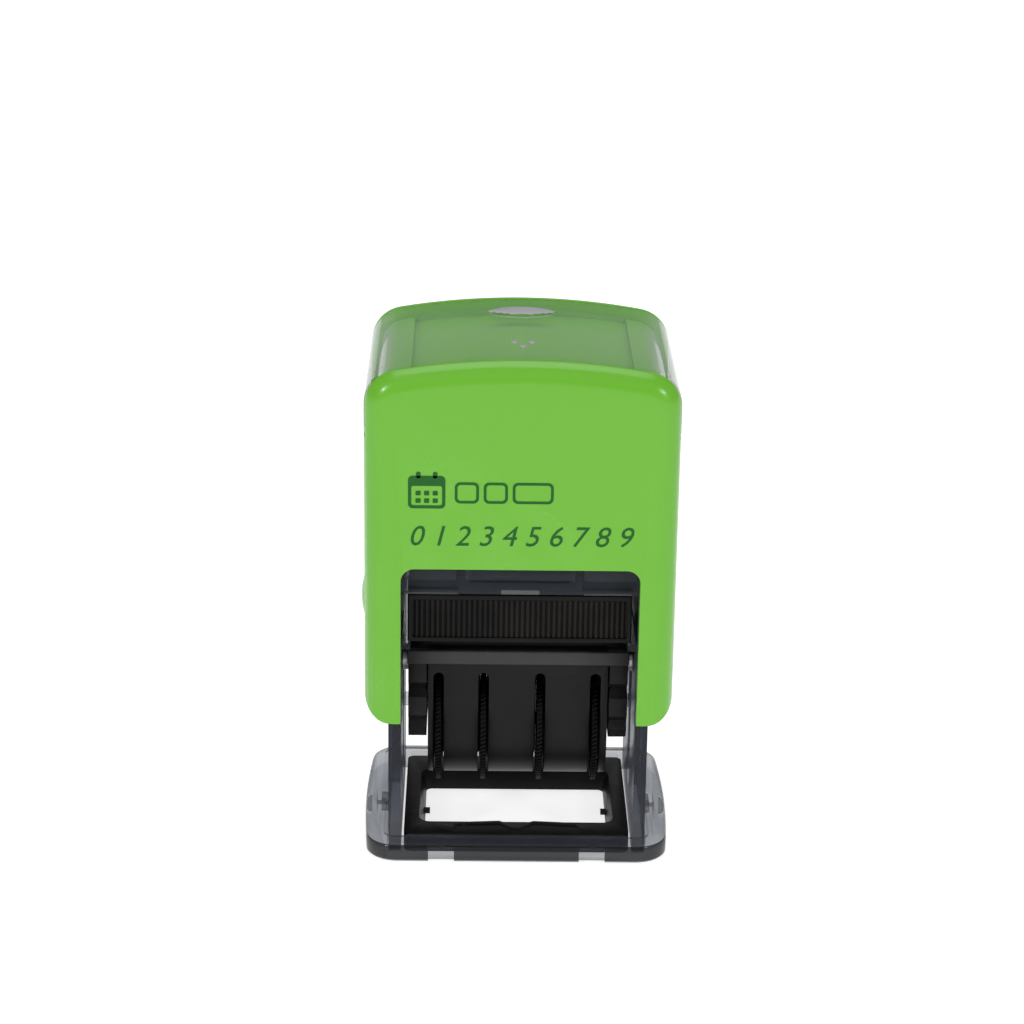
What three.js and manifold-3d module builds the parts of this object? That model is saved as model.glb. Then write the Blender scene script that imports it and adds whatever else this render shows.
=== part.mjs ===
// Self-inking mini date stamp, at rest with its print face up against the ink pad.
// Millimetres. +Z is up, +X is to the right and the front faces -Y.
// The origin is the centre of the foot, on the surface that the stamp stands on.
import * as THREE from "three";
import { mergeVertices } from "three/addons/utils/BufferGeometryUtils.js";
import Module from "manifold-3d";

const wasm = await Module();
wasm.setup();

// ---------- driving dimensions ----------
const FIT = 0.15; // gap between two pieces that are assembled together
const CUT = 1; // how far a cutting tool runs past the face that it cuts
const THROUGH = 30; // half length of a tool that cuts from front to back

// outer housing
const HOUSING_W = 34;
const HOUSING_FRONT = -13;
const HOUSING_BACK = 13.5;
const HOUSING_TOP = 58.2;
const HOUSING_BOTTOM = 16.6;
const CROWN_R = 78.6; // radius of the arched top
const SHOULDER_R = 4; // where the arched top meets the sides
const EDGE_R = 2.4; // round edge of the front face
const REAR_TRIM = 1.6; // how much of the same rounding is cut off at the flat back
const LEG_CORNER_R = 2.6; // lower outer corners
const SIDE_WALL = 1.2;
const PLATE_WALL = 1.3; // front and back walls
const ROOF_UNDER = 53.6;
const SHOULDER_INNER_X = 14.7; // half width of the hollow beside the clear cover
const SHOULDER_STEP_Z = 47;
const WINDOW_X = 13;
const WINDOW_TOP = 34.9;
const WINDOW_R = 1.4;

// clear cover over the label recess
const COVER_T = 1.2;
const COVER_FRONT = -11.2;
const COVER_BACK = 12.4;
const COVER_SKIRT_Z = 49.5;
const SCOOP_Y = 7.1;
const SCOOP_DEPTH = 0.55;
const LABEL_X = 12;
const LABEL_DEPTH = 0.5;

// stroke and flip
const STROKE = 14;
const MECH_Y = -0.8; // the mechanism sits a little in front of the middle
const PIVOT_Z = 19.65;
const FACE_H = PIVOT_Z - STROKE; // print face above the pivot, so that it lands on the paper
const PIN_R = 1.5;
const BOSS_R = 2.6;

// lock buttons
const BUTTON_Z = 27;
const BUTTON_R = 2.5;
const BUTTON_PROUD = 0.75;
const BUTTON_FLANGE_R = 3.2;

// inner frame
const ARM_IN = 13;
const ARM_OUT = 14.4;
const ARM_Y = 11.3;
const ARM_TOP = 37.5;
const ARM_BOTTOM = 0.3;
const TRAY_FLOOR = 31.4;
const TRAY_FLOOR_T = 1.2;
const TRAY_TOP = 36.5;
const TRAY_WALL = 1.1;
const TRAY_RIB_X = 6;
const LEDGE_Z = 24.5;
const LEDGE_TOP = 25.4;
const LEDGE_IN = 12;
const POST_Y = 4; // flip post, behind the pivot
const POST_R = 0.8;
const POST_IN = 11.2;

// foot and its black insert
const FOOT_X = 17.3;
const FOOT_Y = 13.5;
const FOOT_T = 2.2;
const FOOT_CORNER_R = 3.6;
const BEAD_H = 0.25;
const INSERT_FRONT = -10.8;
const INSERT_BACK = 9.9;
const INSERT_T = 2.3;
const HOLE_X = 10.4;
const HOLE_Y = 6.4; // half depth of the print window, about MECH_Y

// ink pad cartridge
const CARTRIDGE_X = 12.3;
const CARTRIDGE_FRONT = -11;
const CARTRIDGE_BACK = 10.6;
const CARTRIDGE_BOTTOM = 25.6;
const CARTRIDGE_TOP = 31.2;
const RIB_PITCH = 0.58;
const RIB_COUNT = 40;
const RIB_H = 0.3;
const PAD_X = 10.6;
const PAD_Y = 5.6;
const PAD_FACE = 25.5;
const PAD_TOP = 29.3;

// dater, measured from the pivot
const BODY_X = 10.1;
const COVER_HALF_Y = 5.7;
const COVER_WALL = 0.8;
const WHEEL_H = -7.55; // wheel axle
const COVER_BOTTOM_R = 6.2;
const COVER_TOP_H = 2;
const FLANGE_X = 12.4;
const FLANGE_Y = 6;
const FLANGE_LOW = 2.1;
const FLANGE_HIGH = 3.1;
const FENCE_Y = 4.1;
const FENCE_INNER_Y = 3.35;
const FENCE_HIGH = 4.9;
const SIDE_PLATE_IN = 9.5;
const CAM_IN = 10.25;
const CAM_OUT = 12.3;
const CAM_Y = 6.2;
const CAM_LOW = -7.6;
const GROOVE_IN = 11;
const DISC_R = 7;
const DISC_T = 0.65;
const DISC_TEETH = 48;
const TOOTH_H = 0.3;
const SLOT_HALF = 0.6;
const SLOT_TOP_H = 0.4;
const HUB_R = 3.1;
const BAND_CORE_R = 3.2;
const BAND_T = 1.1;
const PLATEN_Y = 1.9;
const PLATEN_R = 1.2;
const PLATEN_LOW = 2.6;
const AXLE_R = 0.65;

// return spring
const SPRING_R = 5.1; // middle of the wire
const WIRE_R = 0.4;
const SPRING_TURNS = 7;
const SPRING_SEAT_R = 4.2;

// One entry per date wheel: the middle of its finger disc, and the band beside it.
const WHEELS = [
  { name: "day_tens", disc: -8.9, band: [-8.4, -6.5] },
  { name: "day_units", disc: -3.85, band: [-6.2, -4.3] },
  { name: "month", disc: 2.5, band: [-3.2, 2.05] },
  { name: "year", disc: 8.7, band: [3.15, 8.25] },
];

// ---------- materials ----------
const plastic = (color, roughness, extra = {}) =>
  new THREE.MeshStandardMaterial({ color, roughness, metalness: 0, ...extra });
const GREEN = plastic(0x6fc13a, 0.3);
const BLACK = plastic(0x1c1b1c, 0.5);
const SMOKE = plastic(0x4c525c, 0.15, { transparent: true, opacity: 0.6 });
const CLEAR = plastic(0xe4e8ea, 0.08, { transparent: true, opacity: 0.35 });
const FELT = plastic(0x14141a, 0.95);
const RUBBER = plastic(0x2b2a2a, 0.8);
const STEEL = new THREE.MeshStandardMaterial({ color: 0xb9bcc0, roughness: 0.3, metalness: 1 });

// ---------- shapes and solids ----------
const ALONG_Y = new THREE.Matrix4().makeBasis(
  new THREE.Vector3(1, 0, 0), new THREE.Vector3(0, 0, 1), new THREE.Vector3(0, -1, 0));
const ALONG_X = new THREE.Matrix4().makeBasis(
  new THREE.Vector3(0, 1, 0), new THREE.Vector3(0, 0, 1), new THREE.Vector3(1, 0, 0));

// A closed three.js geometry as a solid that can be joined and cut.
function solid(geometry) {
  const bare = geometry.index ? geometry.toNonIndexed() : geometry.clone();
  for (const name of Object.keys(bare.attributes)) if (name !== "position") bare.deleteAttribute(name);
  const merged = mergeVertices(bare, 1e-4);
  return new wasm.Manifold(new wasm.Mesh({
    numProp: 3,
    vertProperties: merged.attributes.position.array,
    triVerts: new Uint32Array(merged.index.array),
  }));
}

// A solid back as a three.js geometry.
function geometryOf(made) {
  const mesh = made.getMesh();
  const geometry = new THREE.BufferGeometry();
  geometry.setAttribute("position", new THREE.BufferAttribute(mesh.vertProperties, mesh.numProp));
  geometry.setIndex(new THREE.BufferAttribute(mesh.triVerts, 1));
  geometry.computeVertexNormals();
  return geometry;
}

const join = (...solids) => solids.reduce((a, b) => a.add(b));
const cut = (body, ...tools) => tools.reduce((a, b) => a.subtract(b), body);

function box(x0, x1, y0, y1, z0, z1) {
  const geometry = new THREE.BoxGeometry(x1 - x0, y1 - y0, z1 - z0);
  return solid(geometry.translate((x0 + x1) / 2, (y0 + y1) / 2, (z0 + z1) / 2));
}

// A box on both sides of the middle plane, mirrored in X.
const sideBox = (side, x0, x1, ...rest) =>
  side > 0 ? box(x0, x1, ...rest) : box(-x1, -x0, ...rest);

function extrude(shape, depth, curveSegments, matrix, shift) {
  const geometry = new THREE.ExtrudeGeometry(shape, { depth, bevelEnabled: false, curveSegments });
  return solid(geometry.applyMatrix4(matrix).translate(...shift));
}

// A front-view outline (x, z), extruded from y0 to y1.
const prismY = (shape, y0, y1, segments = 6) =>
  extrude(shape, y1 - y0, segments, ALONG_Y, [0, y1, 0]);

// A side-view outline (y, z), extruded from x0 to x1.
const prismX = (shape, x0, x1, segments = 6) =>
  extrude(shape, x1 - x0, segments, ALONG_X, [x0, 0, 0]);

// A top-view outline (x, y), extruded from z0 to z1.
const prismZ = (shape, z0, z1, segments = 6) =>
  extrude(shape, z1 - z0, segments, new THREE.Matrix4(), [0, 0, z0]);

// A round bar along X, centred on (y, z).
function rodX(radius, x0, x1, y, z, segments = 20) {
  const geometry = new THREE.CylinderGeometry(radius, radius, x1 - x0, segments);
  return solid(geometry.rotateZ(Math.PI / 2).translate((x0 + x1) / 2, y, z));
}

function rodZ(radius, z0, z1, x, y, segments = 24) {
  const geometry = new THREE.CylinderGeometry(radius, radius, z1 - z0, segments);
  return solid(geometry.rotateX(Math.PI / 2).translate(x, y, (z0 + z1) / 2));
}

function rectangle(x0, x1, y0, y1) {
  return new THREE.Shape([[x0, y0], [x1, y0], [x1, y1], [x0, y1]].map((p) => new THREE.Vector2(...p)));
}

// A rectangle with round corners: one radius for the lower pair and one for the upper pair.
function roundedRectangle(x0, x1, y0, y1, low, high = low) {
  const shape = new THREE.Shape();
  shape.moveTo(x0 + low, y0);
  shape.lineTo(x1 - low, y0);
  if (low) shape.absarc(x1 - low, y0 + low, low, -Math.PI / 2, 0);
  shape.lineTo(x1, y1 - high);
  if (high) shape.absarc(x1 - high, y1 - high, high, 0, Math.PI / 2);
  shape.lineTo(x0 + high, y1);
  if (high) shape.absarc(x0 + high, y1 - high, high, Math.PI / 2, Math.PI);
  shape.lineTo(x0, y0 + low);
  if (low) shape.absarc(x0 + low, y0 + low, low, Math.PI, Math.PI * 1.5);
  return shape;
}

// The tightest belt around a set of circles (y, z, r), as points in order.
function beltAround(circles, steps = 24) {
  const points = circles.flatMap(([y, z, r]) =>
    Array.from({ length: steps }, (_, i) => {
      const a = (2 * Math.PI * i) / steps;
      return [y + r * Math.cos(a), z + r * Math.sin(a)];
    })).sort((a, b) => a[0] - b[0] || a[1] - b[1]);
  const turn = (o, a, b) => (a[0] - o[0]) * (b[1] - o[1]) - (a[1] - o[1]) * (b[0] - o[0]);
  const half = (list) => {
    const chain = [];
    for (const p of list) {
      while (chain.length > 1 && turn(chain.at(-2), chain.at(-1), p) <= 1e-9) chain.pop();
      chain.push(p);
    }
    chain.pop();
    return chain;
  };
  return [...half(points), ...half([...points].reverse())].map((p) => new THREE.Vector2(...p));
}

// ---------- outer housing ----------
// Front view of the housing, drawn inwards by an inset.
function housingOutline(inset, bottom, bottomR = 0) {
  const x = HOUSING_W / 2 - inset;
  const crownZ = HOUSING_TOP - CROWN_R;
  const crown = CROWN_R - inset;
  const shoulder = SHOULDER_R - inset;
  const shoulderX = HOUSING_W / 2 - SHOULDER_R;
  const shoulderZ = crownZ + Math.sqrt((CROWN_R - SHOULDER_R) ** 2 - shoulderX ** 2);
  const angle = Math.atan2(shoulderZ - crownZ, shoulderX);
  const shape = new THREE.Shape();
  shape.moveTo(-x + bottomR, bottom);
  shape.lineTo(x - bottomR, bottom);
  if (bottomR) shape.absarc(x - bottomR, bottom + bottomR, bottomR, -Math.PI / 2, 0);
  shape.absarc(shoulderX, shoulderZ, shoulder, 0, angle);
  shape.absarc(0, crownZ, crown, angle, Math.PI - angle);
  shape.absarc(-shoulderX, shoulderZ, shoulder, Math.PI - angle, Math.PI);
  if (bottomR) shape.absarc(-x + bottomR, bottom + bottomR, bottomR, Math.PI, Math.PI * 1.5);
  return shape;
}

// The filled outer form: an arched block with a round front edge and a flat back.
function housingBlock() {
  const depth = HOUSING_BACK + REAR_TRIM - HOUSING_FRONT - 2 * EDGE_R;
  const rounded = new THREE.ExtrudeGeometry(housingOutline(0, HOUSING_BOTTOM - 2 * EDGE_R), {
    depth,
    curveSegments: 6,
    bevelThickness: EDGE_R,
    bevelSize: EDGE_R,
    bevelOffset: -EDGE_R,
    bevelSegments: 4,
  });
  const block = solid(rounded.applyMatrix4(ALONG_Y).translate(0, HOUSING_FRONT + EDGE_R + depth, 0));
  const limit = housingOutline(-FIT, HOUSING_BOTTOM, LEG_CORNER_R);
  return block.intersect(prismY(limit, HOUSING_FRONT - CUT, HOUSING_BACK));
}

// Everything outside the surface that the clear cover lies on, above a given height.
function coverSpace(outer, inner, gap, z) {
  const [front, back] = [COVER_FRONT - gap, COVER_BACK + gap];
  return cut(
    prismY(housingOutline(-outer, z), front, back),
    prismY(housingOutline(inner, z - CUT), front - CUT, back + CUT),
  );
}

function outerHousing() {
  const innerX = HOUSING_W / 2 - SIDE_WALL;
  const innerY = [HOUSING_FRONT + PLATE_WALL, HOUSING_BACK - PLATE_WALL];
  const low = HOUSING_BOTTOM - CUT;
  let body = cut(
    housingBlock(),
    box(-innerX, innerX, ...innerY, low, SHOULDER_STEP_Z),
    box(-SHOULDER_INNER_X, SHOULDER_INNER_X, ...innerY, low, ROOF_UNDER),
    prismY(roundedRectangle(-WINDOW_X, WINDOW_X, low, WINDOW_TOP, 0, WINDOW_R), -THROUGH, THROUGH),
    coverSpace(CUT, COVER_T + FIT, FIT, COVER_SKIRT_Z - FIT),
    coverSpace(CUT, COVER_T + FIT + LABEL_DEPTH, FIT, COVER_SKIRT_Z)
      .intersect(box(-LABEL_X, LABEL_X, -THROUGH, THROUGH, ROOF_UNDER, HOUSING_TOP)),
    rodX(BUTTON_R + FIT, -HOUSING_W, HOUSING_W, 0, BUTTON_Z),
  );
  for (const side of [-1, 1]) {
    for (const y of [-8.5, 6.8]) body = body.add(sideBox(side, ARM_OUT + 0.2, innerX + FIT, y, y + 1.2, 20, SHOULDER_STEP_Z + FIT));
    const boss = [ARM_OUT + 0.25, innerX + FIT].map((x) => x * side).sort((a, b) => a - b);
    const bore = [ARM_OUT, HOUSING_W / 2 - 0.6].map((x) => x * side).sort((a, b) => a - b);
    body = cut(body.add(rodX(BOSS_R, ...boss, MECH_Y, PIVOT_Z)), rodX(PIN_R + 0.1, ...bore, MECH_Y, PIVOT_Z));
  }
  return body.add(rodZ(SPRING_SEAT_R, ROOF_UNDER - 2, ROOF_UNDER + 0.5, 0, 0));
}

function indexCover() {
  const shell = coverSpace(0, COVER_T, 0, COVER_SKIRT_Z);
  // a shallow scoop for a fingertip, towards the back
  const scoop = new THREE.SphereGeometry(1, 24, 12);
  scoop.scale(4.1, 2.2, SCOOP_DEPTH + 0.15).translate(0, SCOOP_Y, HOUSING_TOP + 0.15);
  return cut(shell, solid(scoop));
}

function lockButton(side) {
  const outer = HOUSING_W / 2;
  const inner = outer - SIDE_WALL;
  const dome = new THREE.LatheGeometry([
    new THREE.Vector2(0, outer + BUTTON_PROUD),
    new THREE.Vector2(BUTTON_R * 0.45, outer + BUTTON_PROUD * 0.93),
    new THREE.Vector2(BUTTON_R * 0.8, outer + BUTTON_PROUD * 0.7),
    new THREE.Vector2(BUTTON_R, outer + BUTTON_PROUD * 0.25),
    new THREE.Vector2(BUTTON_R, inner - FIT),
    new THREE.Vector2(BUTTON_FLANGE_R, inner - FIT),
    new THREE.Vector2(BUTTON_FLANGE_R, inner - FIT - 0.5),
    new THREE.Vector2(0, inner - FIT - 0.5),
  ].reverse(), 20);
  dome.rotateZ(-side * Math.PI / 2).translate(0, 0, BUTTON_Z);
  return solid(dome);
}

function pivotPin(side) {
  const [a, b] = [CAM_IN + 0.35, HOUSING_W / 2 - 0.8];
  return side > 0 ? rodX(PIN_R, a, b, MECH_Y, PIVOT_Z) : rodX(PIN_R, -b, -a, MECH_Y, PIVOT_Z);
}

// ---------- inner frame: two arms and the tray that joins them ----------
function armOutline() {
  const outline = roundedRectangle(-ARM_Y, ARM_Y, ARM_BOTTOM, ARM_TOP, 0, 1.5);
  const slotR = PIN_R + 0.2;
  const slot = roundedRectangle(MECH_Y - slotR, MECH_Y + slotR, FACE_H - slotR, PIVOT_Z + slotR, slotR - 0.001);
  outline.holes.push(slot);
  return outline;
}

function innerFrame() {
  const parts = [];
  for (const side of [-1, 1]) {
    const ends = side > 0 ? [ARM_IN, ARM_OUT] : [-ARM_OUT, -ARM_IN];
    const post = side > 0 ? [POST_IN, ARM_IN + 0.5] : [-ARM_IN - 0.5, -POST_IN];
    const arm = join(
      prismX(armOutline(), ...ends),
      sideBox(side, LEDGE_IN, ARM_IN + 0.5, -10.6, 9.8, LEDGE_Z, LEDGE_TOP),
      rodX(POST_R, ...post, MECH_Y + POST_Y, PIVOT_Z - STROKE / 2),
      sideBox(side, ARM_OUT - 0.5, ARM_OUT + 1.1, -1.9, 0.9, 0.7, 1.8),
    );
    // the notch that the lock button drops into when the stamp is held part-way down
    parts.push(cut(arm, sideBox(side, ARM_OUT - 0.5, ARM_OUT + CUT, -3.4, 3.4, BUTTON_Z - 7.4, BUTTON_Z - 3.6)));
  }
  const wall = TRAY_WALL;
  const tray = cut(
    box(-ARM_IN - 0.5, ARM_IN + 0.5, -ARM_Y, ARM_Y, TRAY_FLOOR, TRAY_TOP),
    box(-ARM_IN, ARM_IN, -ARM_Y + wall, ARM_Y - wall, TRAY_FLOOR + TRAY_FLOOR_T, TRAY_TOP + CUT),
    box(-2.05, 2.05, -ARM_Y - CUT, -ARM_Y + wall + 0.3, TRAY_FLOOR - CUT, TRAY_FLOOR + 0.55),
    box(-12.5, -6.7, -ARM_Y - CUT, -ARM_Y + 0.4, TRAY_FLOOR + 0.5, TRAY_TOP - 0.6),
    box(6.7, 12.5, -ARM_Y - CUT, -ARM_Y + 0.4, TRAY_FLOOR + 0.5, TRAY_TOP - 0.6),
    box(-5.4, 5.4, -ARM_Y - CUT, -ARM_Y + 0.4, TRAY_FLOOR + 1.4, TRAY_TOP - 0.6),
  );
  const ribs = [-1, 1].map((side) =>
    sideBox(side, TRAY_RIB_X, TRAY_RIB_X + 1, -ARM_Y + 0.5, ARM_Y - 0.5, TRAY_FLOOR + 0.5, TRAY_TOP - 1));
  const seat = rodZ(SPRING_SEAT_R, TRAY_FLOOR + 0.5, TRAY_FLOOR + TRAY_FLOOR_T + 2, 0, 0);
  return join(...parts, tray, ...ribs, seat);
}

// ---------- foot ----------
// Top view of the foot: a rectangle whose sides bow outwards a little.
function footOutline(inset) {
  const x = FOOT_X - inset;
  const y = FOOT_Y - inset;
  const r = FOOT_CORNER_R - inset;
  const bow = 0.35;
  const shape = new THREE.Shape();
  shape.moveTo(-x + bow + r, -y);
  shape.lineTo(x - bow - r, -y);
  shape.absarc(x - bow - r, -y + r, r, -Math.PI / 2, 0);
  shape.quadraticCurveTo(x + bow, 0, x - bow, y - r);
  shape.absarc(x - bow - r, y - r, r, 0, Math.PI / 2);
  shape.lineTo(-x + bow + r, y);
  shape.absarc(-x + bow + r, y - r, r, Math.PI / 2, Math.PI);
  shape.quadraticCurveTo(-x - bow, 0, -x + bow, -y + r);
  shape.absarc(-x + bow + r, -y + r, r, Math.PI, Math.PI * 1.5);
  return shape;
}

function footFrame() {
  const armX = [ARM_IN - FIT, ARM_OUT + FIT];
  const wells = [-1, 1].flatMap((side) => [
    // the slot that the arm stands in, and the window that its hook snaps into
    sideBox(side, armX[0] - 0.5, armX[1], -ARM_Y - FIT, ARM_Y + FIT, -CUT, FOOT_T + CUT),
    sideBox(side, ARM_OUT, 16, -2.2, 1.2, -CUT, FOOT_T + CUT),
  ]);
  const centre = box(-armX[0], armX[0], INSERT_FRONT - FIT, INSERT_BACK + FIT, -CUT, FOOT_T + CUT);
  const bead = cut(
    prismZ(roundedRectangle(-15.4, 15.4, -12.2, 12, 1.6), FOOT_T - 0.5, FOOT_T + BEAD_H),
    box(-14.9, 14.9, -11.7, 11.6, FOOT_T - CUT, FOOT_T + CUT),
  );
  const marks = [-1, 1].map((side) => {
    const mark = new THREE.Shape([[0.8, 0], [-0.8, 0.5], [-0.8, -0.5]].map(([a, b]) =>
      new THREE.Vector2(side * (FOOT_X + 0.35 - a * 0.9), MECH_Y + b)));
    return prismZ(mark, -CUT, FOOT_T + CUT);
  });
  const tabs = [-1, 1].map((side) => sideBox(side, 7, 9.9, -FOOT_Y - CUT, -FOOT_Y + 0.5, -CUT, 1.5));
  return cut(prismZ(footOutline(0), 0, FOOT_T).add(bead), ...wells, centre, ...marks, ...tabs);
}

function baseInsert() {
  const side = ARM_IN - 2 * FIT;
  const funnel = new THREE.CylinderGeometry(
    (HOLE_X + 0.65) * Math.SQRT2, HOLE_X * Math.SQRT2, INSERT_T + 2 * 0.01, 4);
  funnel.rotateY(Math.PI / 4).rotateX(Math.PI / 2)
    .scale(1, HOLE_Y / HOLE_X, 1).translate(0, MECH_Y, INSERT_T / 2);
  const lip = new THREE.Shape([[-7.2, 0], [7.2, 0], [6.6, 0.8], [1.6, 1], [0.6, 0.35], [-0.6, 0.35], [-1.6, 1], [-6.6, 0.8]]
    .map(([x, z]) => new THREE.Vector2(x, INSERT_T - 0.1 + z)));
  const teeth = [-1, 1].map((s) => sideBox(s, HOLE_X - 0.5, HOLE_X + 1, MECH_Y - 0.35, MECH_Y + 0.35, 0, 0.5));
  return join(
    cut(box(-side, side, INSERT_FRONT, INSERT_BACK, 0, INSERT_T), solid(funnel)),
    prismY(lip, INSERT_FRONT + 0.2, INSERT_FRONT + 1.4),
    ...teeth,
  );
}

// ---------- ink pad cartridge ----------
function inkCartridge() {
  const shell = cut(
    box(-CARTRIDGE_X, CARTRIDGE_X, CARTRIDGE_FRONT + 0.6, CARTRIDGE_BACK, CARTRIDGE_BOTTOM, CARTRIDGE_TOP),
    box(-PAD_X - FIT, PAD_X + FIT, MECH_Y - PAD_Y - FIT, MECH_Y + PAD_Y + FIT, CARTRIDGE_BOTTOM - CUT, PAD_TOP + FIT),
  );
  // the ribbed finger grip across the front
  const half = (RIB_COUNT * RIB_PITCH) / 2;
  const comb = [[CARTRIDGE_X, CARTRIDGE_FRONT + 1], [-CARTRIDGE_X, CARTRIDGE_FRONT + 1], [-CARTRIDGE_X, CARTRIDGE_FRONT + 0.35]];
  for (let i = 0; i < RIB_COUNT; i++) {
    const x = -half + i * RIB_PITCH;
    const [low, high] = [CARTRIDGE_FRONT + 0.35, CARTRIDGE_FRONT + 0.35 - RIB_H];
    comb.push([x + 0.1, low], [x + 0.2, high], [x + 0.4, high], [x + 0.5, low]);
  }
  comb.push([CARTRIDGE_X, CARTRIDGE_FRONT + 0.35]);
  const grip = prismZ(new THREE.Shape(comb.map((p) => new THREE.Vector2(...p))), 26.9, 30.5);
  const lip = box(-CARTRIDGE_X, CARTRIDGE_X, CARTRIDGE_FRONT, CARTRIDGE_FRONT + 1, CARTRIDGE_BOTTOM + 0.1, 26.7);
  const brow = box(-CARTRIDGE_X, CARTRIDGE_X, CARTRIDGE_FRONT + 0.2, CARTRIDGE_FRONT + 1, 26.5, CARTRIDGE_TOP - 0.1);
  const field = box(-CARTRIDGE_X + 0.5, CARTRIDGE_X - 0.5, CARTRIDGE_FRONT - CUT, CARTRIDGE_FRONT + 0.4, 26.85, 30.6);
  return join(shell, cut(join(lip, brow), field), grip);
}

const inkPad = () => box(-PAD_X, PAD_X, MECH_Y - PAD_Y, MECH_Y + PAD_Y, PAD_FACE, PAD_TOP);

// ---------- dater: y and z measured from the pivot ----------
// Side view of the band cover: straight walls on an oval bottom, drawn inwards by an inset.
function coverOutline(inset, top) {
  const half = COVER_HALF_Y - inset;
  const shape = new THREE.Shape();
  shape.moveTo(half, top);
  shape.lineTo(-half, top);
  shape.lineTo(-half, WHEEL_H);
  shape.absellipse(0, WHEEL_H, half, COVER_BOTTOM_R - inset, Math.PI, 2 * Math.PI);
  return shape;
}

// The flip post's path in the dater's own frame, from rest to the full stroke.
function postPath(angle) {
  const rise = -STROKE / 2 + (STROKE * angle) / Math.PI;
  return new THREE.Vector2(
    POST_Y * Math.cos(angle) + rise * Math.sin(angle),
    -POST_Y * Math.sin(angle) + rise * Math.cos(angle),
  );
}

// The groove that the post runs in: blind, and open at the lower edge of the plate.
function groove(side, from, to) {
  const steps = 14;
  const half = POST_R + 0.2;
  const path = Array.from({ length: steps + 1 }, (_, i) => postPath((Math.PI * i) / steps));
  const below = new THREE.Vector2(0, -3);
  path.unshift(path[0].clone().add(below));
  path.push(path.at(-1).clone().add(below));
  const ends = side > 0 ? [from, to] : [-to, -from];
  const links = path.slice(1).map((p, i) =>
    prismX(new THREE.Shape(beltAround([[p.x, p.y, half], [path[i].x, path[i].y, half]], 12)), ...ends));
  return join(...links);
}

function carriage() {
  const flange = box(-FLANGE_X, FLANGE_X, -FLANGE_Y, FLANGE_Y, FLANGE_LOW, FLANGE_HIGH);
  const fence = box(-BODY_X, BODY_X, -FENCE_Y, FENCE_Y, FLANGE_LOW, FENCE_HIGH);
  const well = box(-SIDE_PLATE_IN, SIDE_PLATE_IN, -FENCE_INNER_Y, FENCE_INNER_Y, FLANGE_LOW - CUT, FENCE_HIGH + CUT);
  const plates = [-1, 1].map((side) => {
    const ends = side > 0 ? [SIDE_PLATE_IN, BODY_X] : [-BODY_X, -SIDE_PLATE_IN];
    return prismX(coverOutline(COVER_WALL + FIT, FLANGE_LOW + 0.2), ...ends);
  });
  // a pocket at each end of the fence, where the platen bar drops in
  const seats = [-1, 1].map((side) => sideBox(side, SIDE_PLATE_IN - 0.2, SIDE_PLATE_IN + 0.4,
    -PLATEN_Y - 0.1, PLATEN_Y + 0.1, PLATEN_LOW - 0.1, FENCE_HIGH + CUT));
  return cut(
    join(cut(join(flange, fence), well), ...plates),
    rodX(AXLE_R + 0.1, -BODY_X - CUT, BODY_X + CUT, 0, WHEEL_H, 12),
    ...seats,
  );
}

const platenBar = () =>
  prismX(roundedRectangle(-PLATEN_Y, PLATEN_Y, PLATEN_LOW, FACE_H - BAND_T, 0.4, PLATEN_R),
    -SIDE_PLATE_IN - 0.25, SIDE_PLATE_IN + 0.25);

function bandCover() {
  const outer = coverOutline(0, COVER_TOP_H);
  const inner = coverOutline(COVER_WALL, COVER_TOP_H + CUT);
  const shell = cut(prismX(outer, -BODY_X, BODY_X, 10), prismX(inner, -BODY_X - CUT, BODY_X + CUT, 10));
  const slots = WHEELS.map(({ disc }) => {
    const outline = roundedRectangle(disc - SLOT_HALF, disc + SLOT_HALF, -20, SLOT_TOP_H, 0, SLOT_HALF - 0.001);
    return prismY(outline, -THROUGH, THROUGH, 4);
  });
  return cut(shell, ...slots);
}

function flipCam(side) {
  // a plate with two notches in its front edge and two in its back edge
  const edge = [[CAM_Y, FLANGE_LOW - FIT], [CAM_Y, -0.6], [CAM_Y - 1.1, -1.5], [CAM_Y, -2.4], [CAM_Y, -4.6],
    [CAM_Y - 0.9, -5.4], [CAM_Y - 0.4, -6.2], [CAM_Y - 1.2, CAM_LOW]];
  const outline = new THREE.Shape([
    ...edge.map(([y, z]) => new THREE.Vector2(y, z)),
    ...[...edge].reverse().map(([y, z]) => new THREE.Vector2(-y, z)),
  ].reverse());
  const ends = side > 0 ? [CAM_IN, CAM_OUT] : [-CAM_OUT, -CAM_IN];
  return cut(
    prismX(outline, ...ends),
    groove(side, GROOVE_IN, CAM_OUT + CUT),
    rodX(PIN_R + 0.1, ends[0] - CUT, ends[1] + CUT, 0, 0),
  );
}

function dateWheel({ disc, band }) {
  const teeth = [];
  for (let i = 0; i < DISC_TEETH; i++) {
    for (const [share, radius] of [[0.15, DISC_R], [0.5, DISC_R], [0.65, DISC_R - TOOTH_H], [1, DISC_R - TOOTH_H]]) {
      const a = (2 * Math.PI * (i + share)) / DISC_TEETH;
      teeth.push(new THREE.Vector2(radius * Math.cos(a), WHEEL_H + radius * Math.sin(a)));
    }
  }
  const plate = prismX(new THREE.Shape(teeth), disc - DISC_T / 2, disc + DISC_T / 2);
  const ends = disc < band[0] ? [disc, band[1]] : [band[0], disc];
  return cut(plate.add(rodX(HUB_R, ...ends, 0, WHEEL_H, 24)), rodX(AXLE_R + 0.1, -20, 20, 0, WHEEL_H, 12));
}

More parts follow.
